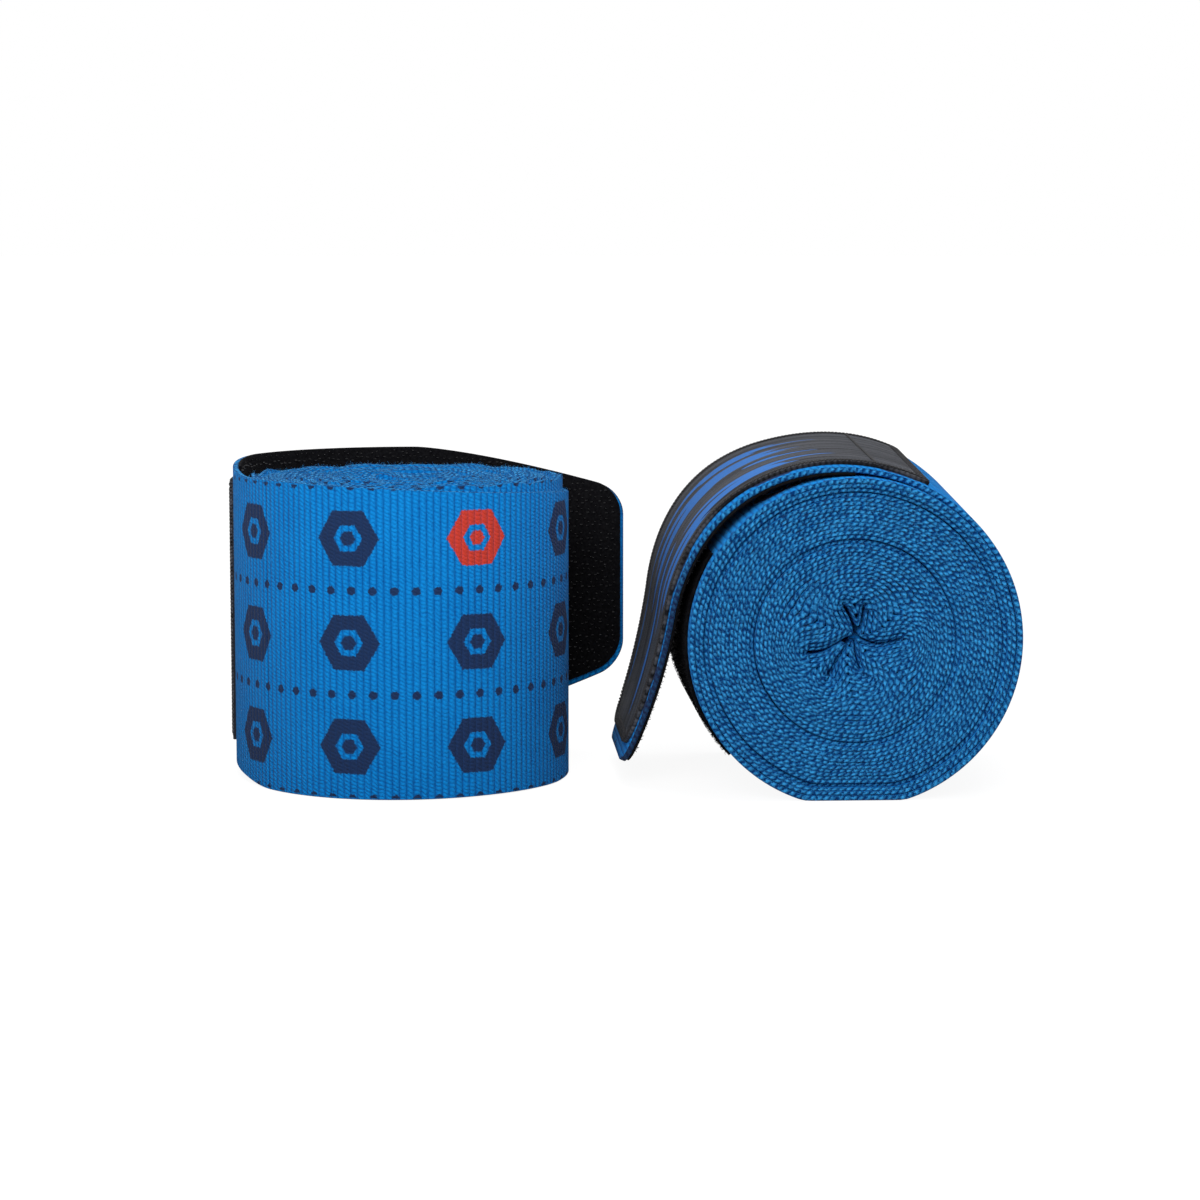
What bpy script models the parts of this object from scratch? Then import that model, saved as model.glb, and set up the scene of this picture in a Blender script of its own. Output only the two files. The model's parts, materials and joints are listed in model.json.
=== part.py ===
"""A pair of boxing hand wraps, rolled up: one roll stands on its end and the other lies on its side.

Each wrap is one long woven strip wound from its thumb loop outwards. The last stretch of the strip is the
closure: a tapered tongue with a label band sewn on its outer face and a hook patch on its inner face. A loop
patch sewn on the turn below takes the hooks. The closure peels open about a line across the strip.

Each roll is drawn in its own frame: the strip winds anticlockwise in the XY plane and its width lies along Z.
"""

import math

import bpy
import numpy as np

# Driving dimensions of one wrap, in metres
STRIP_WIDTH = 0.050
STRIP_THICKNESS = 0.00035
TURN_GAP = 0.00063
FULL_TURNS = 19
SEAT_GAP = 0.0003

# The core is crushed: the inner turns fold around slits that run out from the axis
SLIT_COUNT = 6
SLIT_LENGTH = 0.0064
SLIT_UNEVENNESS = 0.0005
SLIT_DRIFT = math.radians(5)
SLIT_CLEARANCE = 0.0015
ROUNDING_START = 0.003
ROUNDING_END = 0.0195

# The thumb loop, a tape sewn to the inner end and tucked along the core
LOOP_TAPE_WIDTH = 0.0052
LOOP_TAPE_THICKNESS = 0.0005
LOOP_LENGTH = 0.038
LOOP_OPENING = 0.0006
LOOP_CORE_OVERHANG = 0.0004

# The closure: the last stretch of the strip and the pieces sewn to it
CLOSURE_LENGTH = 0.099
CLOSURE_EDGE_INSET = 0.0005
TAPER_LENGTH = 0.036
TAPER_CURVE = 1.4
TIP_WIDTH = 0.030
TIP_CORNER_RADIUS = 0.004
TIP_SKEW = 0.0025
CLOSURE_RISE = 0.0024
RISE_LENGTH = 0.030
LIFT_ANGLE = math.radians(62)
LABEL_START = 0.020
LABEL_INSET = 0.0022
LABEL_THICKNESS = 0.0008
HOOK_START = 0.020
HOOK_INSET = 0.0010
HOOK_THICKNESS = 0.0009
PATCH_START_ANGLE = math.radians(128)
PATCH_END_ANGLE = math.radians(203)
PATCH_INSET = 0.0030
PATCH_THICKNESS = 0.0009
THREAD_DIAMETER = 0.0004
SEAM_INSET = 0.0018

# How each roll is laid out
STANDING_ROOT_ANGLE = math.radians(142.5)
STANDING_LEAVE_ANGLE = math.radians(134.5)
STANDING_BEND = math.radians(3)
STANDING_EDGE_DIP = 0.0022
LYING_ROOT_ANGLE = math.radians(20)
LYING_LEAVE_ANGLE = math.radians(153)
LYING_BEND = math.radians(-14)
LYING_FLAT_DEPTH = 0.0009
FLAT_FROM_TURN = 11
LYING_YAW = math.radians(3)
ROLL_SPACING = 0.0705
LYING_SETBACK = -0.002

# Fineness of the facets
SLIT_TURNS = 1.5
SLIT_STEPS = 60
WAVY_TURNS = 4.5
WAVY_STEPS = 36
TURN_STEPS = 24
SHEET_STEP = 0.004
FINE_STEP = math.radians(1)

TURN = 2 * math.pi
TURN_PITCH = STRIP_THICKNESS + TURN_GAP
CLOSURE_LIFT = STRIP_THICKNESS + HOOK_THICKNESS + PATCH_THICKNESS + 3 * SEAT_GAP
HALF_WIDTH = STRIP_WIDTH / 2
DOWN = -math.pi / 2


def clear_scene():
    for old in list(bpy.data.objects):
        bpy.data.objects.remove(old)


def make_collection(name):
    collection = bpy.data.collections.new(name)
    bpy.context.scene.collection.children.link(collection)
    return collection


def make_material(name, colour, roughness):
    material = bpy.data.materials.new(name)
    material.use_nodes = True
    shader = material.node_tree.nodes["Principled BSDF"]
    shader.inputs["Base Color"].default_value = (*colour, 1.0)
    shader.inputs["Roughness"].default_value = roughness
    shader.inputs["Metallic"].default_value = 0.0
    return material


def make_empty(name, collection, parent=None, location=(0, 0, 0), rotation=(0, 0, 0)):
    empty = bpy.data.objects.new(name, None)
    collection.objects.link(empty)
    empty.parent = parent
    empty.location = location
    empty.rotation_euler = rotation
    return empty


def smooth(low, high, value):
    """0 below low and 1 above high, with a soft start and end between them."""
    share = np.clip((value - low) / (high - low), 0.0, 1.0)
    return share * share * (3 - 2 * share)


def slit_reach(angle, clearance):
    """Radius at which a ray from the axis is this far from every slit, for rays at these angles.

    Beside a slit the curve runs parallel to it, so the radius is the clearance over the sine of the angle
    between ray and slit. Past the slit's end it is an arc about that end. The largest of these radii holds.
    """
    slits = np.arange(SLIT_COUNT)
    ways = slits * TURN / SLIT_COUNT + SLIT_DRIFT * np.sin(2.4 * slits)
    lengths = SLIT_LENGTH + SLIT_UNEVENNESS * np.cos(1.9 * slits)
    away = np.abs((angle[:, None] - ways + math.pi) % TURN - math.pi)
    wide = np.maximum(clearance, 1e-9)[:, None]
    beside = wide / np.maximum(np.sin(away), 1e-6)
    past_end = np.maximum(wide**2 - (lengths * np.sin(away)) ** 2, 0.0)
    round_end = lengths * np.cos(away) + np.sqrt(past_end)
    along = wide / np.maximum(np.tan(away), 1e-6)
    reach = np.where(along <= lengths, beside, round_end)
    return np.where(away < math.pi / 2, reach, wide).max(axis=1)


def winding_clearance(angle):
    """How far the strip's middle is from the slits where it has wound through this angle."""
    return SLIT_CLEARANCE + TURN_PITCH * angle / TURN


def mean_reach():
    """Mean distance by which the slits push a wide turn outwards."""
    ring = np.linspace(0, TURN, 360, endpoint=False)
    wide = np.full(len(ring), ROUNDING_END)
    return slit_reach(ring, wide).mean() - ROUNDING_END


def turn_radius(angle):
    """Radius of the strip's middle where it has wound through this angle, in the round outer turns."""
    return winding_clearance(angle) + MEAN_REACH


def winding_radius(angle):
    """Radius of the strip's middle: folded around the slits at the core, and rounder with every turn."""
    clearance = winding_clearance(angle)
    roundness = np.clip((clearance - ROUNDING_START) / (ROUNDING_END - ROUNDING_START), 0.0, 1.0)
    return (1 - roundness) * slit_reach(angle, clearance) + roundness * turn_radius(angle)


def flattened(angle, radius, flat_depth):
    """The radius with the turns pressed flat underneath, each a little more than the one inside it."""
    passes = np.maximum(np.round((angle - DOWN) / TURN), 1)
    share = np.clip((passes - FLAT_FROM_TURN) / (FULL_TURNS - FLAT_FROM_TURN), 0.0, 1.0)
    at_bottom = winding_radius(passes * TURN + DOWN) - flat_depth * share
    slope = np.cos(angle - DOWN)
    pressed = (slope > 0.9) & (share > 0)
    return np.where(pressed, np.minimum(radius, at_bottom / np.maximum(slope, 0.9)), radius)


def roll_angles(root_angle):
    """Angles from the inner end to the closure's root, closer together where the turns fold."""
    end = FULL_TURNS * TURN + root_angle
    folds = np.arange(0, SLIT_TURNS, 1 / SLIT_STEPS)
    waves = np.arange(SLIT_TURNS, WAVY_TURNS, 1 / WAVY_STEPS)
    turns = np.arange(WAVY_TURNS, end / TURN - 0.3 / TURN_STEPS, 1 / TURN_STEPS)
    return np.concatenate([TURN * folds, TURN * waves, TURN * turns, [end]])


def roll_path(root_angle, flat_depth):
    """Angles and points along the middle of the wound strip."""
    angles = roll_angles(root_angle)
    radii = winding_radius(angles)
    if flat_depth:
        radii = flattened(angles, radii, flat_depth)
    return angles, np.stack([radii * np.cos(angles), radii * np.sin(angles)], axis=1)


MEAN_REACH = mean_reach()


def lengths_along(points):
    steps = np.linalg.norm(np.diff(points, axis=0), axis=1)
    return np.concatenate([[0.0], np.cumsum(steps)])


def headings(points):
    """Unit directions along a path, at its points."""
    ways = np.gradient(points, axis=0)
    return ways / np.linalg.norm(ways, axis=1)[:, None]


def outward(ways):
    """Unit normals on the outer side of an anticlockwise path."""
    return np.stack([ways[:, 1], -ways[:, 0]], axis=1)


def closure_path(root_angle, leave_angle, bend):
    """Points along the middle of the closure, close together: over the roll, then free in a slight bend."""
    past_root = np.arange(0, leave_angle, FINE_STEP)
    wound = FULL_TURNS * TURN + root_angle + past_root
    lift = (CLOSURE_LIFT - TURN_PITCH) * smooth(0, LIFT_ANGLE, past_root)
    radii = turn_radius(wound) + lift
    held = np.stack([radii * np.cos(wound), radii * np.sin(wound)], axis=1)
    free_length = CLOSURE_LENGTH - lengths_along(held)[-1]
    first = held[-1] - held[-2]
    along = np.linspace(0, free_length, round(free_length / 0.0005))
    way = math.atan2(first[1], first[0]) + bend * along / free_length
    steps = np.stack([np.cos(way), np.sin(way)], axis=1) * (along[1] - along[0])
    free = held[-1] + np.cumsum(steps, axis=0)
    return np.concatenate([held, free])


def stations(start, end):
    """Distances along the closure from start to end, closer together where the tip's corners are rounded."""
    corner = end - TIP_CORNER_RADIUS
    body = np.linspace(start, corner, max(2, math.ceil((corner - start) / SHEET_STEP)))
    turn_in = corner + TIP_CORNER_RADIUS * np.sin(np.linspace(0, math.pi / 2, 4)[1:])
    return np.concatenate([body, turn_in])


def closure_edges(along, end, inset):
    """Lower and upper edge across the strip: full width, then a taper to a tip with rounded corners."""
    into_taper = np.clip((along - CLOSURE_LENGTH) / TAPER_LENGTH + 1, 0.0, 1.0)
    taper = into_taper**TAPER_CURVE
    full = HALF_WIDTH - CLOSURE_EDGE_INSET
    half = full + (TIP_WIDTH / 2 - full) * taper - inset
    into_corner = np.maximum(along - (end - TIP_CORNER_RADIUS), 0.0)
    half = half - (TIP_CORNER_RADIUS - np.sqrt(np.maximum(TIP_CORNER_RADIUS**2 - into_corner**2, 0.0)))
    middle = -TIP_SKEW * taper - CLOSURE_RISE * smooth(0, RISE_LENGTH, along)
    return middle - half, middle + half


def on_path(path, along, offset):
    """Points at these distances along a path, moved outwards by offset."""
    measured = lengths_along(path)
    normals = outward(headings(path))
    moved = path + offset * normals
    return np.stack([np.interp(along, measured, moved[:, k]) for k in range(2)], axis=1)


def add_sheet(name, points, lower, upper, thickness, material, collection):
    """A bent sheet of even thickness: an open ribbon between its lower and upper edge, then Solidify."""
    count = len(points)
    low = np.column_stack([points, lower])
    high = np.column_stack([points, upper])
    corners = [tuple(p) for p in np.concatenate([low, high])]
    quads = [(i, i + 1, count + i + 1, count + i) for i in range(count - 1)]
    mesh = bpy.data.meshes.new(name)
    mesh.from_pydata(corners, [], quads)
    mesh.shade_smooth()
    mesh.set_sharp_from_angle(angle=math.radians(40))
    sheet = bpy.data.objects.new(name, mesh)
    collection.objects.link(sheet)
    wall = sheet.modifiers.new("thickness", "SOLIDIFY")
    wall.thickness = thickness
    wall.offset = 0.0
    wall.use_even_offset = True
    mesh.materials.append(material)
    return sheet


def add_thread(name, points, material, collection):
    """A closed loop of sewing thread, as a round wire along the seam."""
    curve = bpy.data.curves.new(name, "CURVE")
    curve.dimensions = "3D"
    curve.bevel_depth = THREAD_DIAMETER / 2
    curve.bevel_resolution = 0
    spline = curve.splines.new("POLY")
    spline.points.add(len(points) - 1)
    spline.points.foreach_set("co", np.column_stack([points, np.ones(len(points))]).ravel())
    spline.use_cyclic_u = True
    thread = bpy.data.objects.new(name, curve)
    collection.objects.link(thread)
    curve.materials.append(material)
    return thread


def least_gap(points):
    """Smallest clear distance between parts of the strip that are over 5 mm apart along it, point to segment."""
    start, end = points[:-1], points[1:]
    run = end - start
    away = points[:, None, :] - start[None, :, :]
    share = np.clip((away * run).sum(2) / (run * run).sum(1), 0.0, 1.0)
    distance = np.linalg.norm(away - share[..., None] * run, axis=2)
    along = lengths_along(points)
    apart = np.minimum(np.abs(along[:, None] - along[:-1]), np.abs(along[:, None] - along[1:]))
    return distance[apart > 0.005].min() - STRIP_THICKNESS


def add_roll(name, root_angle, flat_depth, edge_dip, material, collection):
    """The wound strip. The outermost turn may be drawn in at its lower local edge, where it sits askew."""
    angles, points = roll_path(root_angle, flat_depth)
    ways = headings(points)
    points[-1] = points[-1] - ways[-1] * SEAT_GAP / 2
    before_root = (angles[-1] - angles) / TURN
    dip = edge_dip * np.sin(math.pi * np.clip(before_root, 0, 1)) ** 2
    lower = np.full(len(points), -HALF_WIDTH) + dip
    upper = np.full(len(points), HALF_WIDTH)
    length, gap = lengths_along(points)[-1], 1000 * least_gap(points)
    print(f"{name}: {length:.3f} m of strip, {len(points)} points, least gap to itself {gap:.3f} mm")
    return add_sheet(name, points, lower, upper, STRIP_THICKNESS, material, collection)


def add_loop_patch(name, root_angle, material, collection):
    """Pile patch on the turn under the closure's hooks."""
    outer = turn_radius(FULL_TURNS * TURN)
    steps = math.ceil((PATCH_END_ANGLE - PATCH_START_ANGLE) * outer / SHEET_STEP)
    past_root = np.linspace(PATCH_START_ANGLE, PATCH_END_ANGLE, steps)
    wound = (FULL_TURNS - 1) * TURN + root_angle + past_root
    radii = turn_radius(wound) + STRIP_THICKNESS / 2 + SEAT_GAP + PATCH_THICKNESS / 2
    points = np.stack([radii * np.cos(wound), radii * np.sin(wound)], axis=1)
    edge = np.full(steps, HALF_WIDTH - PATCH_INSET)
    return add_sheet(name, points, -edge, edge, PATCH_THICKNESS, material, collection)


def add_thumb_loop(name, material, collection):
    """A flattened loop of tape along the core, in the star's first arm, with its tape's width along the arm."""
    half_opening = (LOOP_OPENING + LOOP_TAPE_THICKNESS) / 2
    straight = LOOP_LENGTH / 2 - half_opening
    turn_in = np.linspace(-math.pi / 2, math.pi / 2, 6)
    one_end = np.stack([straight + half_opening * np.cos(turn_in), half_opening * np.sin(turn_in)], axis=1)
    loop = np.concatenate([one_end, -one_end])
    curve = bpy.data.curves.new(name, "CURVE")
    curve.dimensions = "2D"
    curve.fill_mode = "NONE"
    curve.extrude = LOOP_TAPE_WIDTH / 2
    spline = curve.splines.new("POLY")
    spline.points.add(len(loop) - 1)
    spline.points.foreach_set("co", np.column_stack([loop, np.zeros(len(loop)), np.ones(len(loop))]).ravel())
    spline.use_cyclic_u = True
    tape = bpy.data.objects.new(name, curve)
    collection.objects.link(tape)
    wall = tape.modifiers.new("thickness", "SOLIDIFY")
    wall.thickness = LOOP_TAPE_THICKNESS
    wall.offset = 0.0
    wall.use_even_offset = True
    curve.materials.append(material)
    tape.rotation_euler = (0, math.pi / 2, 0)
    tape.location = (LOOP_TAPE_WIDTH / 2 - LOOP_CORE_OVERHANG, 0, 0)
    return tape


def add_closure(prefix, path, materials, collection):
    """The tongue of strip, the label band and its seam on the outer face, and the hook patch inside."""
    pieces = []
    layers = (
        ("closure_strip", SEAT_GAP / 2, 0.0, 0.0, STRIP_THICKNESS, 0.0),
        ("label_band", LABEL_START, LABEL_INSET, STRIP_THICKNESS / 2 + SEAT_GAP, LABEL_THICKNESS, 1.0),
        ("hook_patch", HOOK_START, HOOK_INSET, STRIP_THICKNESS / 2 + SEAT_GAP, HOOK_THICKNESS, -1.0),
    )
    for piece, start, inset, seat, thickness, side in layers:
        end = CLOSURE_LENGTH - inset
        along = stations(start, end)
        lower, upper = closure_edges(along, end, inset)
        points = on_path(path, along, side * (seat + thickness / 2))
        pieces.append(add_sheet(f"{prefix}_{piece}", points, lower, upper, thickness, materials[piece], collection))
    seam_inset = LABEL_INSET + SEAM_INSET
    end = CLOSURE_LENGTH - seam_inset
    along = stations(LABEL_START + SEAM_INSET, end)
    lower, upper = closure_edges(along, end, seam_inset)
    top = STRIP_THICKNESS / 2 + SEAT_GAP + LABEL_THICKNESS + SEAT_GAP + THREAD_DIAMETER / 2
    points = on_path(path, along, top)
    there = np.column_stack([points, upper])
    back = np.column_stack([points, lower])[::-1]
    thread = add_thread(f"{prefix}_label_seam", np.concatenate([there, back]), materials["label_seam"], collection)
    return pieces + [thread]


def add_wrap(prefix, root_angle, leave_angle, bend, flat_depth, edge_dip, materials, collection, pair):
    """All the pieces of one rolled wrap, under an empty at its axis and a second empty on its peel line."""
    wrap = make_empty(f"{prefix}_wrap", collection, pair)
    fixed = [
        add_roll(f"{prefix}_roll", root_angle, flat_depth, edge_dip, materials["roll"], collection),
        add_loop_patch(f"{prefix}_loop_patch", root_angle, materials["loop_patch"], collection),
        add_thumb_loop(f"{prefix}_thumb_loop", materials["thumb_loop"], collection),
    ]
    path = closure_path(root_angle, leave_angle, bend)
    root = path[0] + outward(headings(path))[0] * STRIP_THICKNESS / 2
    hinge = make_empty(f"{prefix}_peel_line", collection, wrap, (root[0], root[1], 0))
    for piece in fixed:
        piece.parent = wrap
    for piece in add_closure(prefix, path, materials, collection):
        piece.parent = hinge
        piece.location = (-root[0], -root[1], 0)
    return wrap, hinge


def centre_on_floor(pair, collection):
    """Moves the pair so that the middle of its box's underside is at the origin."""
    bpy.context.view_layer.update()
    graph = bpy.context.evaluated_depsgraph_get()
    corners = []
    for obj in collection.objects:
        if obj.type != "EMPTY":
            solid = obj.evaluated_get(graph)
            mesh = solid.to_mesh()
            corners += [solid.matrix_world @ v.co for v in mesh.vertices]
            solid.to_mesh_clear()
    cloud = np.array(corners)
    low, high = cloud.min(axis=0), cloud.max(axis=0)
    pair.location = (-(low[0] + high[0]) / 2, -(low[1] + high[1]) / 2, -low[2])
    bpy.context.view_layer.update()


def main():
    clear_scene()
    collection = make_collection("hand_wraps")
    blue = (0.012, 0.16, 0.56)
    black = (0.012, 0.012, 0.014)
    materials = {
        "roll": make_material("woven_strip", blue, 0.9),
        "closure_strip": make_material("woven_closure", blue, 0.9),
        "label_band": make_material("label_weave", (0.035, 0.033, 0.034), 0.6),
        "hook_patch": make_material("hook_tape", black, 0.7),
        "loop_patch": make_material("loop_tape", black, 0.95),
        "thumb_loop": make_material("loop_binding", (0.012, 0.13, 0.47), 0.9),
        "label_seam": make_material("sewing_thread", (0.06, 0.056, 0.055), 0.7),
    }
    pair = make_empty("hand_wrap_pair", collection)
    standing, standing_hinge = add_wrap(
        "standing", STANDING_ROOT_ANGLE, STANDING_LEAVE_ANGLE, STANDING_BEND, 0.0, STANDING_EDGE_DIP,
        materials, collection, pair,
    )
    lying, lying_hinge = add_wrap(
        "lying", LYING_ROOT_ANGLE, LYING_LEAVE_ANGLE, LYING_BEND, LYING_FLAT_DEPTH, 0.0,
        materials, collection, pair,
    )
    last_pass = np.array([FULL_TURNS * TURN + DOWN])
    lowest = flattened(last_pass, turn_radius(last_pass), LYING_FLAT_DEPTH)[0] + STRIP_THICKNESS / 2
    standing.rotation_euler = (math.pi, 0, 0)
    standing.location = (-ROLL_SPACING / 2, 0, HALF_WIDTH)
    lying.rotation_euler = (math.pi / 2, 0, LYING_YAW)
    lying.location = (ROLL_SPACING / 2, LYING_SETBACK, float(lowest))
    centre_on_floor(pair, collection)
    for hinge in (standing_hinge, lying_hinge):
        place = hinge.matrix_world.translation
        axis = hinge.matrix_world.col[2]
        print(f"{hinge.name}: at {[round(v, 6) for v in place]}, axis {[round(v, 6) for v in axis[:3]]}")
    for wrap in (standing, lying):
        print(f"{wrap.name}: at {[round(v, 6) for v in wrap.matrix_world.translation]}")


main()
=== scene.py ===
# %% [markdown]
# # A pair of rolled hand wraps
# A hand wrap is a long woven strip that boxers wind round the hand. These two are rolled up for the
# bag: one stands on its end and one lies on its side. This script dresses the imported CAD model: every
# soft piece is drawn again with real thickness, weave, print and stitching, in the same place as the
# solid it stands for.

import json
import math
from dataclasses import dataclass

import bpy
import numpy as np
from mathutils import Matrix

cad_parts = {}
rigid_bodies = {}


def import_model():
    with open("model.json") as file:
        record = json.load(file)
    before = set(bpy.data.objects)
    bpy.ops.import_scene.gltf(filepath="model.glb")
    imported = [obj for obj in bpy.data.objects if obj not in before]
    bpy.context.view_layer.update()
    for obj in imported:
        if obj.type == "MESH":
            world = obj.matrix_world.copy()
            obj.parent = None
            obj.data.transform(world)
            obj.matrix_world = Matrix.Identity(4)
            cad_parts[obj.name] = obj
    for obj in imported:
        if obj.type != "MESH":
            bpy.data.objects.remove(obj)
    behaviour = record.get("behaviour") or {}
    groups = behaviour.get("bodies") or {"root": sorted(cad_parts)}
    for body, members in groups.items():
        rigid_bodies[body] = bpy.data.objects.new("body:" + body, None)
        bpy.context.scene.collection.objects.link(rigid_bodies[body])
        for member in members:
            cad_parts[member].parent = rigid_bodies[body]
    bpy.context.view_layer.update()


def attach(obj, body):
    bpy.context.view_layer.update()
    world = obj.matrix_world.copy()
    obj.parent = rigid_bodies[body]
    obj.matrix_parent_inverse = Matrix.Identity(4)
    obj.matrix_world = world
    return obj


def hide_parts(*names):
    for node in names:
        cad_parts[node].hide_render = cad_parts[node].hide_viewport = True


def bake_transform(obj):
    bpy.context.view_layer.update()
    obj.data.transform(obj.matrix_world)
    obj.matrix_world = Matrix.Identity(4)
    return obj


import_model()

# %% [markdown]
# ## Where the rolls are
# Both rolls are drawn in a frame of their own: the strip winds anticlockwise in a flat plane, and its
# width lies along a third axis. One function then turns these points into the frame of the CAD model,
# so the two wraps share all of their code. Angles count from the first axis of that plane.

# %% Places of the two rolls
TURN = 2 * math.pi
DOWN = -math.pi / 2
HALF_WIDTH = 0.025
LYING_YAW = math.radians(3)


@dataclass(frozen=True)
class Roll:
    """One wrap: where its axis is, where its closure starts and leaves the roll, and how it is pressed."""

    name: str
    axis: tuple
    stands: bool
    root: float
    leave: float
    bend: float
    lift_angles: tuple
    flat_depth: float
    edge_dip: float
    edge_wave: float
    edge_rough: float
    hook_start: float
    flare: float
    seed: int

    def body(self, part):
        return f"{self.name}_{part}"


STANDING = Roll(
    name="standing",
    axis=(-0.034019, -0.0013, 0.025),
    stands=True,
    root=math.radians(142.5),
    leave=math.radians(134.5),
    bend=math.radians(3),
    lift_angles=(0.0, math.radians(62)),
    flat_depth=0.0,
    edge_dip=0.0031,
    edge_wave=0.0009,
    edge_rough=0.00045,
    hook_start=0.016,
    flare=0.0,
    seed=11,
)
LYING = Roll(
    name="lying",
    axis=(0.036481, -0.0033, 0.025177),
    stands=False,
    root=math.radians(20),
    leave=math.radians(153),
    bend=math.radians(-14),
    lift_angles=(math.radians(46), math.radians(125)),
    flat_depth=0.00126,
    edge_dip=0.0,
    edge_wave=0.0004,
    edge_rough=0.00022,
    hook_start=0.032,
    flare=0.0027,
    seed=23,
)
ROLLS = (STANDING, LYING)
FLARE_RADII = (0.0248, 0.0262)
FLARE_RISE = (math.radians(-45), math.radians(30))
FLARE_EASE = (math.radians(110), math.radians(65))
FLARE_FALL = (math.radians(175), math.radians(125))


def smooth(low, high, value):
    """0 at low, 1 at high, and a soft step between them. With low above high it falls."""
    share = np.clip((value - low) / (high - low), 0.0, 1.0)
    return share * share * (3 - 2 * share)


def flared(roll, plane, width_place):
    """The outermost turn, pushed out towards its far edge, as on a roll that was wound slightly askew."""
    radius = np.linalg.norm(plane, axis=-1)
    angle = np.arctan2(plane[..., 1], plane[..., 0])
    far = (HALF_WIDTH - width_place) / (2 * HALF_WIDTH)
    window = smooth(*FLARE_RISE, angle) * smooth(*FLARE_FALL, angle)
    window = window * (1 + smooth(*FLARE_EASE, angle)) / 2
    grow = roll.flare * far * window * smooth(*FLARE_RADII, radius)
    return plane * (1 + grow / np.maximum(radius, HALF_WIDTH / 2))[..., None]


def to_world(roll, plane, width_place):
    """Points of a roll in the CAD frame. The standing roll is upside down, the lying one has a yaw."""
    w = np.broadcast_to(width_place, plane.shape[:-1])
    plane = flared(roll, plane, w)
    x, y = plane[..., 0], plane[..., 1]
    if roll.stands:
        turned = np.stack([x, -y, -w], axis=-1)
    else:
        cos, sin = math.cos(LYING_YAW), math.sin(LYING_YAW)
        turned = np.stack([x * cos + w * sin, x * sin - w * cos, y], axis=-1)
    return turned + np.array(roll.axis)


print("rolls:", *(roll.name for roll in ROLLS))

# %% [markdown]
# ## The camera
# The photograph looks slightly down on the pair with a long lens. The camera stands in front of the
# pair at that height, and its lens puts the rolls at the size and place they have in the picture.

# %% Camera
CAMERA_DISTANCE = 0.5487
CAMERA_RISE = math.radians(6.71)
CAMERA_LENS_MM = 99.65
LOOK_AT = np.array([-0.00224, 0.0, 0.02863])


def add_camera():
    """A camera in front of the pair, raised by an angle about the point that it looks at."""
    lens = bpy.data.cameras.new("studio_camera")
    lens.lens = CAMERA_LENS_MM
    camera = bpy.data.objects.new("studio_camera", lens)
    bpy.context.scene.collection.objects.link(camera)
    back = np.array([0.0, -math.cos(CAMERA_RISE), math.sin(CAMERA_RISE)])
    camera.location = LOOK_AT + CAMERA_DISTANCE * back
    camera.rotation_euler = (math.pi / 2 - CAMERA_RISE, 0.0, 0.0)
    bpy.context.scene.camera = camera


add_camera()
print("camera at", tuple(bpy.context.scene.camera.location))

# %% [markdown]
# ## The path of the strip
# A roll that is wound round a crushed core is not a plain spiral. The first turns fold around slits
# that run out from the axis, and each later turn is rounder. Think of the slits as a star: the strip
# keeps a clearance from the star that grows by one pitch a turn. Near the core that gives nested folds.
# Further out it is mixed with a plain spiral until the turns are round.

# %% Winding formulas
OUTER_PITCH = 0.00098
INNER_PITCH = 0.00065
OUTER_RADIUS = 0.026147
LOOSE_GAP = 0.00019
LOOSE_TURNS = (3.4, 14.6)
SLIT_COUNT = 6
SLIT_LENGTH = 0.0062
SLIT_UNEVENNESS = 0.0012
SLIT_DRIFT = math.radians(16)
DRIFT_STEP = 2.4
LENGTH_STEP = 1.9
NEARLY_ZERO = 1e-6
RING_SAMPLES = 360
SLACK_TURNS = 0.2
CORE_CLEARANCE = 0.00034
ROUNDING_START = 0.0022
ROUNDING_END = 0.0080
FLAT_TURNS = 12.0
FLAT_SOFTNESS = 0.00010
LEAST_SLOPE = 0.5


def slit_reach(angle, clearance):
    """Radius at which a ray from the axis is this far from every slit.

    Beside a slit the curve runs parallel to it: clearance over the sine of the angle between ray and slit.
    Past the slit's end it is an arc about that end. The largest of the radii holds.
    """
    slits = np.arange(SLIT_COUNT)
    ways = slits * TURN / SLIT_COUNT + SLIT_DRIFT * np.sin(DRIFT_STEP * slits)
    lengths = SLIT_LENGTH + SLIT_UNEVENNESS * np.cos(LENGTH_STEP * slits)
    away = np.abs((angle[:, None] - ways + math.pi) % TURN - math.pi)
    wide = clearance[:, None]
    beside = wide / np.maximum(np.sin(away), NEARLY_ZERO)
    past_end = np.maximum(wide**2 - (lengths * np.sin(away)) ** 2, 0.0)
    round_end = lengths * np.cos(away) + np.sqrt(past_end)
    along = wide / np.maximum(np.tan(away), NEARLY_ZERO)
    reach = np.where(along <= lengths, beside, round_end)
    return np.where(away < math.pi / 2, reach, wide).max(axis=1)


def mean_reach():
    """How far the slits push a wide turn outwards, on average."""
    ring = np.linspace(0, TURN, RING_SAMPLES, endpoint=False)
    return slit_reach(ring, np.full(len(ring), ROUNDING_END)).mean() - ROUNDING_END


MEAN_REACH = mean_reach()


def outer_radius(angle):
    """Radius of the outermost turns, for an angle that is zero where the last full turn ends."""
    return OUTER_RADIUS + OUTER_PITCH * angle / TURN


def round_radius(roll, before_root):
    """Radius of a round turn, by the number of turns before the closure's root.

    The outermost turn is loose and the others are tight, except for a little slack at the loose turns.
    """
    tight = np.maximum(before_root - 1, 0.0)
    slack = sum(LOOSE_GAP * smooth(turn, turn + SLACK_TURNS, before_root) for turn in LOOSE_TURNS)
    loose = OUTER_PITCH * np.minimum(before_root, 1.0)
    return outer_radius(roll.root) - loose - INNER_PITCH * tight - slack


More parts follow.
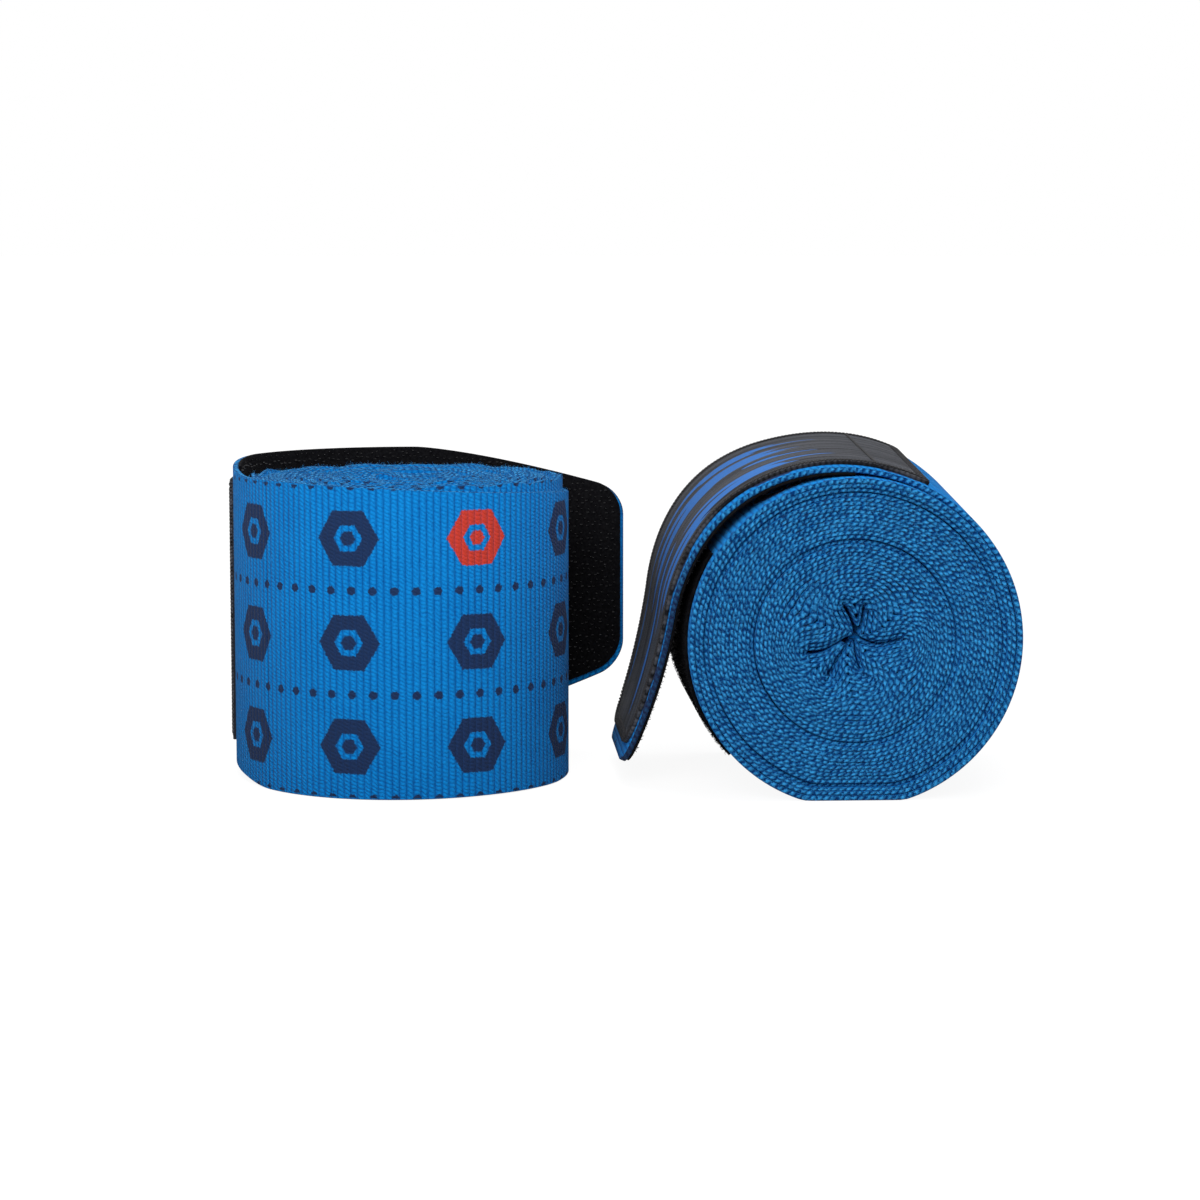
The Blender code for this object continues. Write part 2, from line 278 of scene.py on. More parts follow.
def winding_radius(roll, angle):
    """Radius of the strip's middle: a mix of the folds around the slits and of the round spiral."""
    before_root = (roll.root - angle) / TURN
    radius = round_radius(roll, before_root)
    clearance = np.maximum(radius - MEAN_REACH, CORE_CLEARANCE)
    roundness = smooth(ROUNDING_START, ROUNDING_END, clearance)
    return (1 - roundness) * slit_reach(angle, clearance) + roundness * radius


def pressed_flat(roll, angle, radius):
    """The radius with the outer turns pressed flat underneath, each a little more than the one inside it.

    A flat place at distance d below the axis has radius d over the cosine of the angle from straight down.
    The smaller of the two radii holds, with a soft change from one to the other.
    """
    lowest = np.round((angle - DOWN) / TURN) * TURN + DOWN
    share = np.clip(1 - (roll.root - lowest) / TURN / FLAT_TURNS, 0.0, 1.0)
    depth = winding_radius(roll, lowest) - roll.flat_depth * share
    slope = np.maximum(np.cos(angle - lowest), LEAST_SLOPE)
    gap = (depth / slope - radius) / FLAT_SOFTNESS
    soft = radius - FLAT_SOFTNESS * np.logaddexp(0.0, -gap)
    return np.where(share > 0, soft, radius)


def in_plane(angle, radius):
    """Points from angle and radius."""
    return np.stack([radius * np.cos(angle), radius * np.sin(angle)], axis=-1)


def lengths_along(points):
    """Distance from the first point to each point, along the path."""
    steps = np.linalg.norm(np.diff(points, axis=0), axis=1)
    return np.concatenate([[0.0], np.cumsum(steps)])


def at_lengths(places, path, rows=None):
    """A path's points, or other rows that belong to them, read at distances along the path."""
    measured = lengths_along(path)
    rows = path if rows is None else rows
    return np.stack([np.interp(places, measured, column) for column in rows.T], axis=1)


def unit(vectors):
    """Vectors of length 1."""
    return vectors / np.linalg.norm(vectors, axis=-1, keepdims=True)


def outward(points):
    """Unit normals on the outer side of an anticlockwise path."""
    ways = unit(np.gradient(points, axis=0))
    return np.stack([ways[:, 1], -ways[:, 0]], axis=1)


def slow_noise(places, spacing, seed):
    """Soft random numbers from -1 to 1: one value every spacing along the path, eased in between."""
    steps = places / spacing
    first = np.floor(steps).astype(int)
    values = np.random.default_rng(seed).uniform(-1, 1, first.max() - first.min() + 2)
    share = smooth(0.0, 1.0, steps - first)
    low = first - first.min()
    return (1 - share) * values[low] + share * values[low + 1]


print(f"slits push the turns out by {1000 * MEAN_REACH:.2f} mm")

# %% [markdown]
# ## Ribbons
# Strip, closure, label, hook tape and loop tape are all ribbons: a path in the winding plane, a lower
# and an upper edge across the width, and a thickness. Each is a closed skin on a grid of two
# parameters, the distance along the path and the way round the cross-section. The skin keeps a UV map
# in metres, along and across, so that weave and print follow the cloth wherever it bends. A second
# value marks the rounded rims, where the yarns turn back in loops.

# %% Ribbon builder
RIM_POINTS = 5
RIM_BULGE = 0.45
INNER_FACE = -0.99
UNPRINTED = 2.2 * HALF_WIDTH


def section(face_shares):
    """The way round a ribbon's cross-section, as rows of place across, height and bulge of the rim.

    Across runs from -1 at the lower edge to 1 at the upper one on the outer face, round the upper rim in
    half a circle, back along the inner face and round the lower rim. Height is 1 outside and -1 inside.
    """
    turn_in = np.linspace(0, math.pi, RIM_POINTS + 2)[1:-1]
    faces = np.asarray(face_shares, dtype=float)
    outer = np.stack([faces, np.ones_like(faces), np.zeros_like(faces)], axis=1)
    upper = np.stack([np.ones_like(turn_in), np.cos(turn_in), np.sin(turn_in)], axis=1)
    return np.concatenate([outer, upper, -outer, -upper])


def grid_faces(rows, columns):
    """Quads of a grid that is closed round its columns, with a cap on its first and last row."""
    row = np.arange(rows - 1)[:, None] * columns
    column = np.arange(columns)
    after = (column + 1) % columns
    quads = np.stack([row + column, row + columns + column, row + columns + after, row + after], axis=-1)
    caps = [list(range(columns)), list(range((rows - 1) * columns, rows * columns))[::-1]]
    return quads.reshape(-1, 4).tolist() + caps


def make_mesh(name, points, faces, material):
    """A smooth mesh object at the origin from arrays of points and faces."""
    mesh = bpy.data.meshes.new(name)
    mesh.from_pydata(points.reshape(-1, 3).tolist(), [], faces)
    mesh.materials.append(material)
    mesh.polygons.foreach_set("use_smooth", [len(face) <= 4 for face in faces])
    piece = bpy.data.objects.new(name, mesh)
    bpy.context.scene.collection.objects.link(piece)
    return piece


def set_cloth(piece, along, across, rim, side):
    """Writes the cloth's UV map in metres and its rim values, from one value per point."""
    mesh = piece.data
    corner_points = np.empty(len(mesh.loops), dtype=np.int32)
    mesh.loops.foreach_get("vertex_index", corner_points)
    uv = np.stack([along.ravel()[corner_points], across.ravel()[corner_points]], axis=1)
    mesh.uv_layers.new(name="cloth").data.foreach_set("uv", uv.astype(np.float32).ravel())
    for name, values in (("rim", rim), ("side", side)):
        values = np.ascontiguousarray(values, dtype=np.float32).ravel()
        mesh.attributes.new(name, "FLOAT", "POINT").data.foreach_set("value", values)


def add_ribbon(name, roll, path, along, edges, heights, material, face_shares=(-1.0, 1.0)):
    """A ribbon as a closed skin between two heights over its path, with round rims and cloth values."""
    inner, outer = (np.broadcast_to(height, len(path)) for height in heights)
    middle, half = ((outer + inner) / 2)[:, None], ((outer - inner) / 2)[:, None]
    lower, upper = edges
    centre = ((upper + lower) / 2)[:, None]
    reach = ((upper - lower) / 2)[:, None] - RIM_BULGE * half
    form = section(face_shares)
    width_place = centre + reach * form[:, 0] + RIM_BULGE * half * form[:, 2]
    plane = path[:, None, :] + (middle + half * form[:, 1])[..., None] * outward(path)[:, None, :]
    points = to_world(roll, plane, width_place)
    piece = make_mesh(name, points, grid_faces(len(path), len(form)), material)
    across = width_place + np.where(form[:, 1] < INNER_FACE, UNPRINTED, 0.0)
    rim, side = (np.broadcast_to(values, across.shape) for values in (np.abs(form[:, 2]), form[:, 1]))
    set_cloth(piece, np.broadcast_to(along[:, None], across.shape), across, rim, side)
    return piece


print("a ribbon's section has", len(section((-1.0, 1.0))), "points")

# %% [markdown]
# ## Shader formulas
# Weave, print and streaks are sums, products and distances of the two UV values. A small wrapper turns
# ordinary Python arithmetic into Math nodes, so a pattern reads like its formula.


# %% Formula nodes
class Field:
    """A value that changes over the surface. Arithmetic on fields adds Math nodes to the material."""

    def __init__(self, tree, socket):
        self.tree, self.socket = tree, socket

    def joined(self, operation, other=None, third=None):
        node = self.tree.nodes.new("ShaderNodeMath")
        node.operation = operation
        for slot, value in enumerate((self, other, third)):
            if isinstance(value, Field):
                self.tree.links.new(value.socket, node.inputs[slot])
            elif value is not None:
                node.inputs[slot].default_value = value
        return Field(self.tree, node.outputs[0])

    def __add__(self, other):
        return self.joined("ADD", other)

    def __sub__(self, other):
        return self.joined("SUBTRACT", other)

    def __mul__(self, other):
        return self.joined("MULTIPLY", other)

    def __truediv__(self, other):
        return self.joined("DIVIDE", other)

    def __pow__(self, other):
        return self.joined("POWER", other)

    def larger(self, other):
        return self.joined("MAXIMUM", other)

    def smaller(self, other):
        return self.joined("MINIMUM", other)

    def size(self):
        return self.joined("ABSOLUTE")

    def sine(self):
        return self.joined("SINE")

    def whole(self):
        return self.joined("FLOOR")

    def held(self):
        """The value kept between 0 and 1."""
        return self.larger(0.0).smaller(1.0)

    def mixed(self, other, share):
        """This field where share is 0 and the other where it is 1."""
        return self + (other - self) * share

    def wrapped(self, step):
        """Signed distance to the nearest multiple of step."""
        return self.joined("WRAP", step / 2, -step / 2)

    def step(self, low, high):
        """Soft step from 0 at low to 1 at high. With low above high it falls."""
        node = self.tree.nodes.new("ShaderNodeMapRange")
        node.interpolation_type = "SMOOTHSTEP"
        self.tree.links.new(self.socket, node.inputs["Value"])
        falls = low > high
        node.inputs["From Min"].default_value = high if falls else low
        node.inputs["From Max"].default_value = low if falls else high
        node.inputs["To Min"].default_value = 1.0 if falls else 0.0
        node.inputs["To Max"].default_value = 0.0 if falls else 1.0
        return Field(self.tree, node.outputs["Result"])


def new_material(name, roughness, sheen=0.0, specular=0.25):
    """A rough Principled material, with its tree and shader."""
    material = bpy.data.materials.new(name)
    material.use_nodes = True
    tree = material.node_tree
    shader = tree.nodes["Principled BSDF"]
    shader.inputs["Roughness"].default_value = roughness
    shader.inputs["Sheen Weight"].default_value = sheen
    shader.inputs["Sheen Roughness"].default_value = 0.5
    shader.inputs["Specular IOR Level"].default_value = specular
    return material, tree, shader


def cloth_fields(tree):
    """Where a point lies on the cloth: along and across, in metres."""
    uv = tree.nodes.new("ShaderNodeUVMap")
    uv.uv_map = "cloth"
    parts = tree.nodes.new("ShaderNodeSeparateXYZ")
    tree.links.new(uv.outputs["UV"], parts.inputs[0])
    return Field(tree, parts.outputs[0]), Field(tree, parts.outputs[1])


def point_field(tree, name):
    """A value that was written for each point of the mesh."""
    node = tree.nodes.new("ShaderNodeAttribute")
    node.attribute_name = name
    return Field(tree, node.outputs["Fac"])


def noise_at(place, scale, detail):
    """Noise at the places that a vector socket gives."""
    tree = place.id_data
    noise = tree.nodes.new("ShaderNodeTexNoise")
    noise.inputs["Scale"].default_value = scale
    noise.inputs["Detail"].default_value = detail
    tree.links.new(place, noise.inputs["Vector"])
    return Field(tree, noise.outputs["Fac"])


def noise_field(along, across, along_scale, across_scale, detail=2.0):
    """Noise over the cloth, with its own scale along and across, from about 0 to 1."""
    tree = along.tree
    place = tree.nodes.new("ShaderNodeCombineXYZ")
    tree.links.new((along * along_scale).socket, place.inputs[0])
    tree.links.new((across * across_scale).socket, place.inputs[1])
    return noise_at(place.outputs[0], 1.0, detail)


def space_noise(tree, scale, detail=2.0):
    """Noise in space, in the object's own coordinates."""
    place = tree.nodes.new("ShaderNodeTexCoord")
    return noise_at(place.outputs["Object"], scale, detail)


def mixed_colour(share, first, second):
    """A colour between two others, by a field. Each colour is a tuple or a socket."""
    tree = share.tree
    mix = tree.nodes.new("ShaderNodeMix")
    mix.data_type = "RGBA"
    tree.links.new(share.socket, mix.inputs["Factor"])
    for slot, colour in ((6, first), (7, second)):
        if isinstance(colour, tuple):
            mix.inputs[slot].default_value = (*colour, 1.0)
        else:
            tree.links.new(colour, mix.inputs[slot])
    return mix.outputs[2]


def paint(shader, colour):
    """Gives a shader its colour."""
    shader.id_data.links.new(colour, shader.inputs["Base Color"])


def add_bump(shader, height, distance):
    """Roughens the surface by a height field, where 1 stands distance proud of 0."""
    tree = height.tree
    bump = tree.nodes.new("ShaderNodeBump")
    bump.inputs["Strength"].default_value = 1.0
    bump.inputs["Distance"].default_value = distance
    tree.links.new(height.socket, bump.inputs["Height"])
    tree.links.new(bump.outputs["Normal"], shader.inputs["Normal"])


print("formula nodes ready")

# %% [markdown]
# ## The woven strip's finish
# The strip is a ribbed elastic weave: fine ribs lie across it, and each rib is a row of small slanted
# yarn knots that shift by half from rib to rib. On the rims each rib ends in one loop, so the end of a
# roll shows rows of short bright dashes. A plain print lies on the outer face: dark rings with six
# sides in a straight grid, a few of them red, and dotted rows between them.

# %% Woven strip material
RIB = 0.00111
KNOT = 0.00064
KNOT_SLANT = 0.45
KNOT_SHIFT = 2.2
KNOT_WANDER = 5.0
DASH_SLANT = 0.00022
CLOTH_LIGHT = (0.004, 0.215, 0.580)
CLOTH_DARK = (0.0005, 0.080, 0.300)
RIM_LIGHT = (0.030, 0.265, 0.580)
RIM_DARK = (0.0005, 0.028, 0.125)
PRINT_NAVY = (0.012, 0.017, 0.050)
PRINT_RED = (0.430, 0.036, 0.022)
# Painted shade on the closure's rims towards its tip: the span along the tongue where it grows, and how
# much navy it mixes in.
TAIL_RIM_SHADE_SPAN = (0.052, 0.076)
TAIL_RIM_SHADE_SHARE = 0.85
MOTIF_STEP = 0.0205
MOTIF_ROW = 0.0165
MOTIF_SIZE = 0.0045
MOTIF_WALL = 0.0013
MOTIF_CORE = 0.0013
MOTIF_PHASE = 0.0165
DOT_STEP = 0.0034
DOT_SIZE = 0.00068
RED_EVERY = 9.0
RED_COLUMN = 1.0
RED_ROW = 1.0
PRINT_COVER = 0.86
RED_COVER = 0.93
COVER_LIFT = 0.12
PRINT_FUZZ = 0.0006
PRINT_FUZZ_SCALE = 2600.0
PRINT_LIMIT = (0.0248, 0.0245)
CELL_EDGE = (0.6, 0.4)
RING_SOFTNESS = 0.8
CORE_SOFTNESS = 0.75
DOT_SOFTNESS = 0.15
RIB_CREST = 0.6
KNOT_DEPTH = 0.45
WANDER_SCALES = (700.0, 250.0)
DASH_CREST = 1.2
DASH_FRAY = 0.0007
RIM_EDGE = (0.3, 0.6)
FLECK_SCALE = 2600.0
PATCH_SCALE = 700.0
BLOTCH_SCALE = 150.0
FACE_WEAVE, FACE_FLECK, FACE_BLOTCH, FACE_SHADE = 0.75, 0.9, 0.3, 0.57
RIM_LOOPS, RIM_FLECK, RIM_PATCH, RIM_SHADE = 0.85, 2.2, 0.8, 1.56
RIM_CREST = 1.2
FLECK_RELIEF = 0.6
STRIP_RELIEF = 0.00022
STRIP_ROUGHNESS, STRIP_SHEEN, STRIP_SPECULAR = 0.95, 0.03, 0.04


def weave_height(along, across):
    """Height of the weave: ribs across the strip, each broken into slanted knots that shift rib by rib."""
    rib = (along * (math.pi / RIB)).sine().size()
    beside = (along + RIB / 2).wrapped(RIB)
    wander = noise_field(along, across, *WANDER_SCALES) * KNOT_WANDER
    shift = (along / RIB).whole() * KNOT_SHIFT + wander
    knot = ((across + beside * KNOT_SLANT) * (math.pi / KNOT) + shift).sine().size()
    return (rib**RIB_CREST) * (knot * KNOT_DEPTH + (1 - KNOT_DEPTH))


def rim_height(along, side):
    """Height of the loops on a rim: one dash for each rib, slanted from the rim's outside to its inside."""
    return ((along + side * DASH_SLANT) * (math.pi / RIB)).sine().size() ** DASH_CREST


def print_masks(along, across):
    """Where the print lies: all of it, and the red share of it."""
    fuzz = noise_field(along, across, PRINT_FUZZ_SCALE, PRINT_FUZZ_SCALE) * PRINT_FUZZ - PRINT_FUZZ / 2
    moved = along + MOTIF_PHASE
    x, y = moved.wrapped(MOTIF_STEP).size(), across.wrapped(MOTIF_ROW).size()
    six_sided = (x * math.cos(math.pi / 6) + y * math.sin(math.pi / 6)).larger(y) + fuzz
    from_wall = (six_sided - (MOTIF_SIZE - MOTIF_WALL)).size()
    ring = from_wall.step(MOTIF_WALL, MOTIF_WALL * RING_SOFTNESS)
    motif = ring.larger(six_sided.step(MOTIF_CORE, MOTIF_CORE * CORE_SOFTNESS))
    dot_x, dot_y = along.wrapped(DOT_STEP), (across + MOTIF_ROW / 2).wrapped(MOTIF_ROW)
    from_dot = (dot_x * dot_x + dot_y * dot_y) ** 0.5 + fuzz
    dots = from_dot.step(DOT_SIZE * (1 + DOT_SOFTNESS), DOT_SIZE * (1 - DOT_SOFTNESS))
    on_face = across.size().step(*PRINT_LIMIT)
    column = ((moved / MOTIF_STEP + 0.5).whole() + RED_COLUMN).wrapped(RED_EVERY)
    row = (across / MOTIF_ROW + 0.5).whole() + RED_ROW
    red_cell = column.size().step(*CELL_EDGE) * row.size().step(*CELL_EDGE)
    return motif.larger(dots) * on_face, motif * red_cell


def strip_material():
    """Ribbed blue weave with looped rims and the printed rings."""
    material, tree, shader = new_material("woven_strip", STRIP_ROUGHNESS, STRIP_SHEEN, STRIP_SPECULAR)
    along, across = cloth_fields(tree)
    rim = point_field(tree, "rim")
    on_rim = rim.step(*RIM_EDGE)
    fleck = space_noise(tree, FLECK_SCALE, detail=3.0)
    patchy = space_noise(tree, PATCH_SCALE)
    blotch = space_noise(tree, BLOTCH_SCALE)
    face = weave_height(along, across)
    loops = rim_height(along + fleck * DASH_FRAY, point_field(tree, "side"))
    face_light = face * FACE_WEAVE + fleck * FACE_FLECK + blotch * FACE_BLOTCH - FACE_SHADE
    face_light = face_light.held()
    rim_light = loops * (rim**RIM_CREST) * RIM_LOOPS + fleck * RIM_FLECK + patchy * RIM_PATCH - RIM_SHADE
    face_colour = mixed_colour(face_light, CLOTH_DARK, CLOTH_LIGHT)
    rim_colour = mixed_colour(rim_light.held(), RIM_DARK, RIM_LIGHT)
    printed, red = print_masks(along, across)
    ink = mixed_colour(red, PRINT_NAVY, PRINT_RED)
    cover = red * (RED_COVER - PRINT_COVER) + (face_light * COVER_LIFT + PRINT_COVER)
    face_colour = mixed_colour((printed * cover).held(), face_colour, ink)
    # Painted shade: from 52 to 76 mm along the closure, its rims are mixed towards navy, where the tail's
    # rim lies in shadow.
    tail_rim_shade = mixed_colour(along.step(*TAIL_RIM_SHADE_SPAN) * TAIL_RIM_SHADE_SHARE, rim_colour, PRINT_NAVY)
    paint(shader, mixed_colour(on_rim, face_colour, tail_rim_shade))
    add_bump(shader, face.mixed(loops, on_rim) + fleck * FLECK_RELIEF, STRIP_RELIEF)
    return material


WOVEN_STRIP = strip_material()
print("strip material has", len(WOVEN_STRIP.node_tree.nodes), "nodes")

# %% [markdown]
# ## The wound strips
# Each roll's strip runs from the crushed core to the root of its closure. The turns fill the room
# between their neighbours. Their edges are a little uneven, and the core lies deeper, which is what
# makes an end face look wound and not turned on a lathe. On the standing roll the outermost turn sits
# lower on one side.

# %% Wound strips
OUTER_THICKNESS = 0.00090
FILL = 0.485
SLIT_GAP = 0.00034
THINNEST = 0.00018
ROUND_SWELL = 0.00033
FOLD_SWELL = 0.00095
EDGE_WAVES = (0.017, 0.011)
EDGE_PHASES = (1.3, 0.4)
EDGE_NOISE_TURNS = (0.21, 1.1)
ROUGH_START = (0.0, 0.5)
WAVE_START = (0.2, 1.6)
CORE_DEPTH = 0.0011
CORE_REACH = 0.0085
SLIT_SINK = 0.0028
SINK_TURNS = 1.1
VALLEY_DEPTH = 0.0009
VALLEY_TURNS = 0.7
CRUMPLE = 0.0007
CRUMPLE_WAVE = 0.012
CRUMPLE_RATIO = 1.25
CRUMPLE_PHASES = (0.6, 2.1)
FOLD_SOFTNESS = 0.00022
FOLD_STEP = 0.00020
TURN_STEP = 0.0010
FOLDS_END = 0.0125
FOLDS_FADE = (0.6 * FOLDS_END, FOLDS_END)
TURN_SAMPLES = 720
SPARE_TURNS = 0.8
TUCK_ANGLE = math.radians(1.2)
TUCK_DEPTH = 0.00006
WOUND_PATHS = {}


def turn_room(roll, angle, radius):
    """How far the strip can swell inwards and outwards before it meets its neighbours, square to the strip.

    The innermost turn has no neighbour, so it fills the slits that it runs along.
    """
    slope = np.gradient(radius, angle) / radius
    square = FILL / np.sqrt(1 + slope**2)
    outside = square * (np.interp(angle + TURN, angle, radius) - radius)
    outside = np.where(angle + TURN > angle[-1], OUTER_THICKNESS / 2, outside)
    inside = square * (radius - np.interp(angle - TURN, angle, radius))
    clearance = round_radius(roll, (roll.root - angle) / TURN) - MEAN_REACH
    inside = np.where(angle - TURN < angle[0], np.maximum(clearance, CORE_CLEARANCE) - SLIT_GAP, inside)
    most = FOLD_SWELL + (ROUND_SWELL - FOLD_SWELL) * smooth(*FOLDS_FADE, radius)
    most = np.where(angle + TURN > angle[-1], OUTER_THICKNESS / 2, most)
    return np.clip(inside, THINNEST, most), np.clip(outside, THINNEST, most)


def crumpled(points):
    """Points near the core, pushed about in a slow wave so that the folds aren't straight."""
    fade = np.exp(-np.sum(points**2, axis=1) / CORE_REACH**2)
    wave = TURN / CRUMPLE_WAVE
    push_x = np.sin(wave * points[:, 1] + CRUMPLE_PHASES[0])
    push_y = np.sin(CRUMPLE_RATIO * wave * points[:, 0] + CRUMPLE_PHASES[1])
    return points + CRUMPLE * fade[:, None] * np.stack([push_x, push_y], axis=1)


def softened(points, step, softness):
    """Evenly spaced points, averaged with a bell curve so that sharp folds turn round."""
    count = math.ceil(3 * softness / step)
    bell = np.exp(-0.5 * (np.arange(-count, count + 1) * step / softness) ** 2)
    bell = bell / bell.sum()
    padded = np.pad(points, ((count, count), (0, 0)), mode="edge")
    return np.stack([np.convolve(column, bell, mode="valid") for column in padded.T], axis=1)


def strip_path(roll):
    """Points along the strip, closer together in the folds, with their turns before the root and swell."""
    tight_turns = (outer_radius(roll.root) - OUTER_PITCH - MEAN_REACH - CORE_CLEARANCE) / INNER_PITCH
    first, last = roll.root - TURN * (tight_turns + SPARE_TURNS), roll.root + TUCK_ANGLE
    angle = np.linspace(first, last, round(TURN_SAMPLES * tight_turns))
    radius = winding_radius(roll, angle) - TUCK_DEPTH * smooth(roll.root, last, angle)
    if roll.flat_depth:
        radius = pressed_flat(roll, angle, radius)
    before_root = (roll.root - angle) / TURN
    inside, outside = turn_room(roll, angle, radius)
    points = crumpled(in_plane(angle, radius))
    measured = lengths_along(points)
    fine = np.linspace(0, measured[-1], round(measured[-1] / FOLD_STEP))
    rows = at_lengths(fine, points)
    fold = 1 - smooth(*FOLDS_FADE, np.linalg.norm(rows, axis=1))[:, None]
    rows = rows + fold * (softened(rows, FOLD_STEP, FOLD_SOFTNESS) - rows)
    every = np.where(np.linalg.norm(rows, axis=1) < FOLDS_END, 1, round(TURN_STEP / FOLD_STEP))
    kept = (np.arange(len(rows))[::-1] % every == 0) | (fine == 0)
    values = (np.interp(fine[kept], measured, column) for column in (before_root, inside, outside))
    return rows[kept], *values


def edge_noise(before_root, seed):
    """How uneven an edge is: a quick and a slow noise together, never below zero."""
    quick, slow = EDGE_NOISE_TURNS
    return np.abs(slow_noise(before_root, quick, seed) + slow_noise(before_root, slow, seed + 1))


def add_wound_strip(roll):
    """The wound strip of one roll, from core to root."""
    path, before_root, inside, outside = strip_path(roll)
    along = lengths_along(path)
    tucked = outer_radius(roll.root) * TUCK_ANGLE
    uneven = roll.edge_rough * smooth(*ROUGH_START, before_root)
    radius = np.linalg.norm(path, axis=1)
    sunk = CORE_DEPTH * np.exp(-((radius / CORE_REACH) ** 2))
    sunk = sunk + SLIT_SINK * np.exp((before_root - before_root[0]) / SINK_TURNS)
    for turn in LOOSE_TURNS:
        sunk = sunk + VALLEY_DEPTH * np.exp(-(((before_root - turn) / VALLEY_TURNS) ** 2))
    ups, downs = (uneven * edge_noise(before_root, seed) + sunk for seed in (roll.seed, roll.seed + 2))
    swell = np.sin(TURN * path / EDGE_WAVES + EDGE_PHASES).prod(axis=1)
    wave = roll.edge_wave * (1 + swell) / 2 * smooth(*WAVE_START, before_root)
    dip = roll.edge_dip * np.sin(math.pi * np.clip(before_root, 0, 1)) ** 2
    edges = (-HALF_WIDTH + dip + wave + downs, HALF_WIDTH - wave - ups)
    name = roll.body("wound_strip")
    before_tuck = along - along[-1] + tucked
    piece = add_ribbon(name, roll, path, before_tuck, edges, (-inside, outside), WOVEN_STRIP)
    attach(piece, roll.body("wrap"))
    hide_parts(roll.body("roll"))
    WOUND_PATHS[roll.name] = path, edges
    print(f"{name}: {along[-1]:.2f} m of strip, {len(piece.data.polygons)} faces")


for roll in ROLLS:
    add_wound_strip(roll)

# %% [markdown]
# ## The closure
# The last stretch of strip lifts off the roll, runs over the loop patch and ends in a tapered tongue.
# It is the same cloth, so it carries on the strip's UV map.

# %% Closure strips
CLOSURE_LENGTH = 0.099
CLOSURE_EDGE_INSET = 0.0005
TAPER_LENGTH = 0.036
TAPER_CURVE = 1.4
TIP_WIDTH = 0.030
TIP_CORNER = 0.004
TIP_SKEW = 0.0025
CLOSURE_RISE = 0.0024
RISE_LENGTH = 0.030
CLOSURE_LIFT = 0.00305
INSET_LENGTH = 0.010
HELD_STEP = math.radians(1)
FREE_STEP = 0.0005
CLOSURE_STEP = 0.0008
CORNER_POINTS = 12


def closure_path(roll):
    """Fine points along the closure: over the roll with a growing lift, then free in a slight bend."""
    past_root = np.arange(0, roll.leave, HELD_STEP)
    lift = (CLOSURE_LIFT - OUTER_PITCH) * smooth(*roll.lift_angles, past_root)
    held = in_plane(roll.root + past_root, outer_radius(roll.root + past_root) + lift)
    free_length = CLOSURE_LENGTH - lengths_along(held)[-1]
    first = held[-1] - held[-2]
    places = np.linspace(0, free_length, round(free_length / FREE_STEP))
    way = math.atan2(first[1], first[0]) + roll.bend * places / free_length
    free = held[-1] + np.cumsum(in_plane(way, places[1]), axis=0)
    return np.concatenate([held, free])


def closure_places(start, end, step=CLOSURE_STEP):
    """Distances along the closure, closer together where the tip's corners are round."""
    corner = end - TIP_CORNER
    straight = np.linspace(start, corner, round((corner - start) / step), endpoint=False)
    quarter = np.linspace(0, math.pi / 2, CORNER_POINTS)
    return np.concatenate([straight, corner + TIP_CORNER * np.sin(quarter)])


def closure_edges(places, end, inset):
    """Lower and upper edge: full width, then a taper to a skewed tip with round corners."""
    taper = np.clip((places - CLOSURE_LENGTH) / TAPER_LENGTH + 1, 0.0, 1.0) ** TAPER_CURVE
    full = HALF_WIDTH - CLOSURE_EDGE_INSET * smooth(0.0, INSET_LENGTH, places)
    half = full + (TIP_WIDTH / 2 - full) * taper - inset
    into_corner = np.maximum(places - (end - TIP_CORNER), 0.0)
    half = half - (TIP_CORNER - np.sqrt(np.maximum(TIP_CORNER**2 - into_corner**2, 0.0)))
    middle = -TIP_SKEW * taper - CLOSURE_RISE * smooth(0, RISE_LENGTH, places)
    return middle - half, middle + half


def between(edges, places):
    """Area between two edges along the closure."""
    lower, upper = edges
    wide = upper - lower
    return float(np.sum((wide[1:] + wide[:-1]) / 2 * np.diff(places)))


def add_closure_strip(roll):
    """The tongue of strip from its root to its tip."""
    places = closure_places(0.0, CLOSURE_LENGTH)
    path = at_lengths(places, closure_path(roll))
    edges = closure_edges(places, CLOSURE_LENGTH, 0.0)
    half = OUTER_THICKNESS / 2
    piece = add_ribbon(roll.body("tongue"), roll, path, places, edges, (-half, half), WOVEN_STRIP)
    root = to_world(roll, path[0], 0.0)
    roll.body("wrap")
    roll.body("closure")
    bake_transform(piece)
    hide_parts(roll.body("closure_strip"))
    area = between(edges, places)
    print(f"{piece.name}: {1e4 * area:.1f} square centimetres")


for roll in ROLLS:
    add_closure_strip(roll)

# %% [markdown]
# ## The label band
# A black band is sewn along the outer face of the closure. It is a fine satin weave, charcoal where it
# catches the light, with plain blue streaks woven along it.

# %% Label band
LABEL_START = 0.020
LABEL_INSET = 0.0029
LABEL_SPREAD = 0.0018
LABEL_SEAT = 0.00047
LABEL_THICKNESS = 0.00062
LABEL_BLACK = (0.006, 0.006, 0.007)
LABEL_CHARCOAL = (0.066, 0.070, 0.082)
STREAK_BLUE = (0.028, 0.150, 0.470)
SATIN_LINE = 0.00060
SATIN_TICK = 0.0009
TICK_SHIFT = 1.9
LABEL_FLECK_SCALE = 2400.0
LINE_HEIGHT, TICK_HEIGHT, FLECK_HEIGHT = 0.6, 0.3, 0.3
LABEL_CONTRAST, LABEL_SHADE = 1.4, 0.5
BRUSH_SCALES = (30.0, 420.0)
BRUSH_DEPTH = 2.2
STREAK_LEAN = 0.06
STREAK_SCALES = (26.0, 215.0)
STREAK_EDGE = (0.95, 0.965)
STREAK_BAND = 0.4
STREAK_ACROSS = (0.0200, 0.0150)
STREAK_START = (0.028, 0.038)
STREAK_END = (0.098, 0.080)
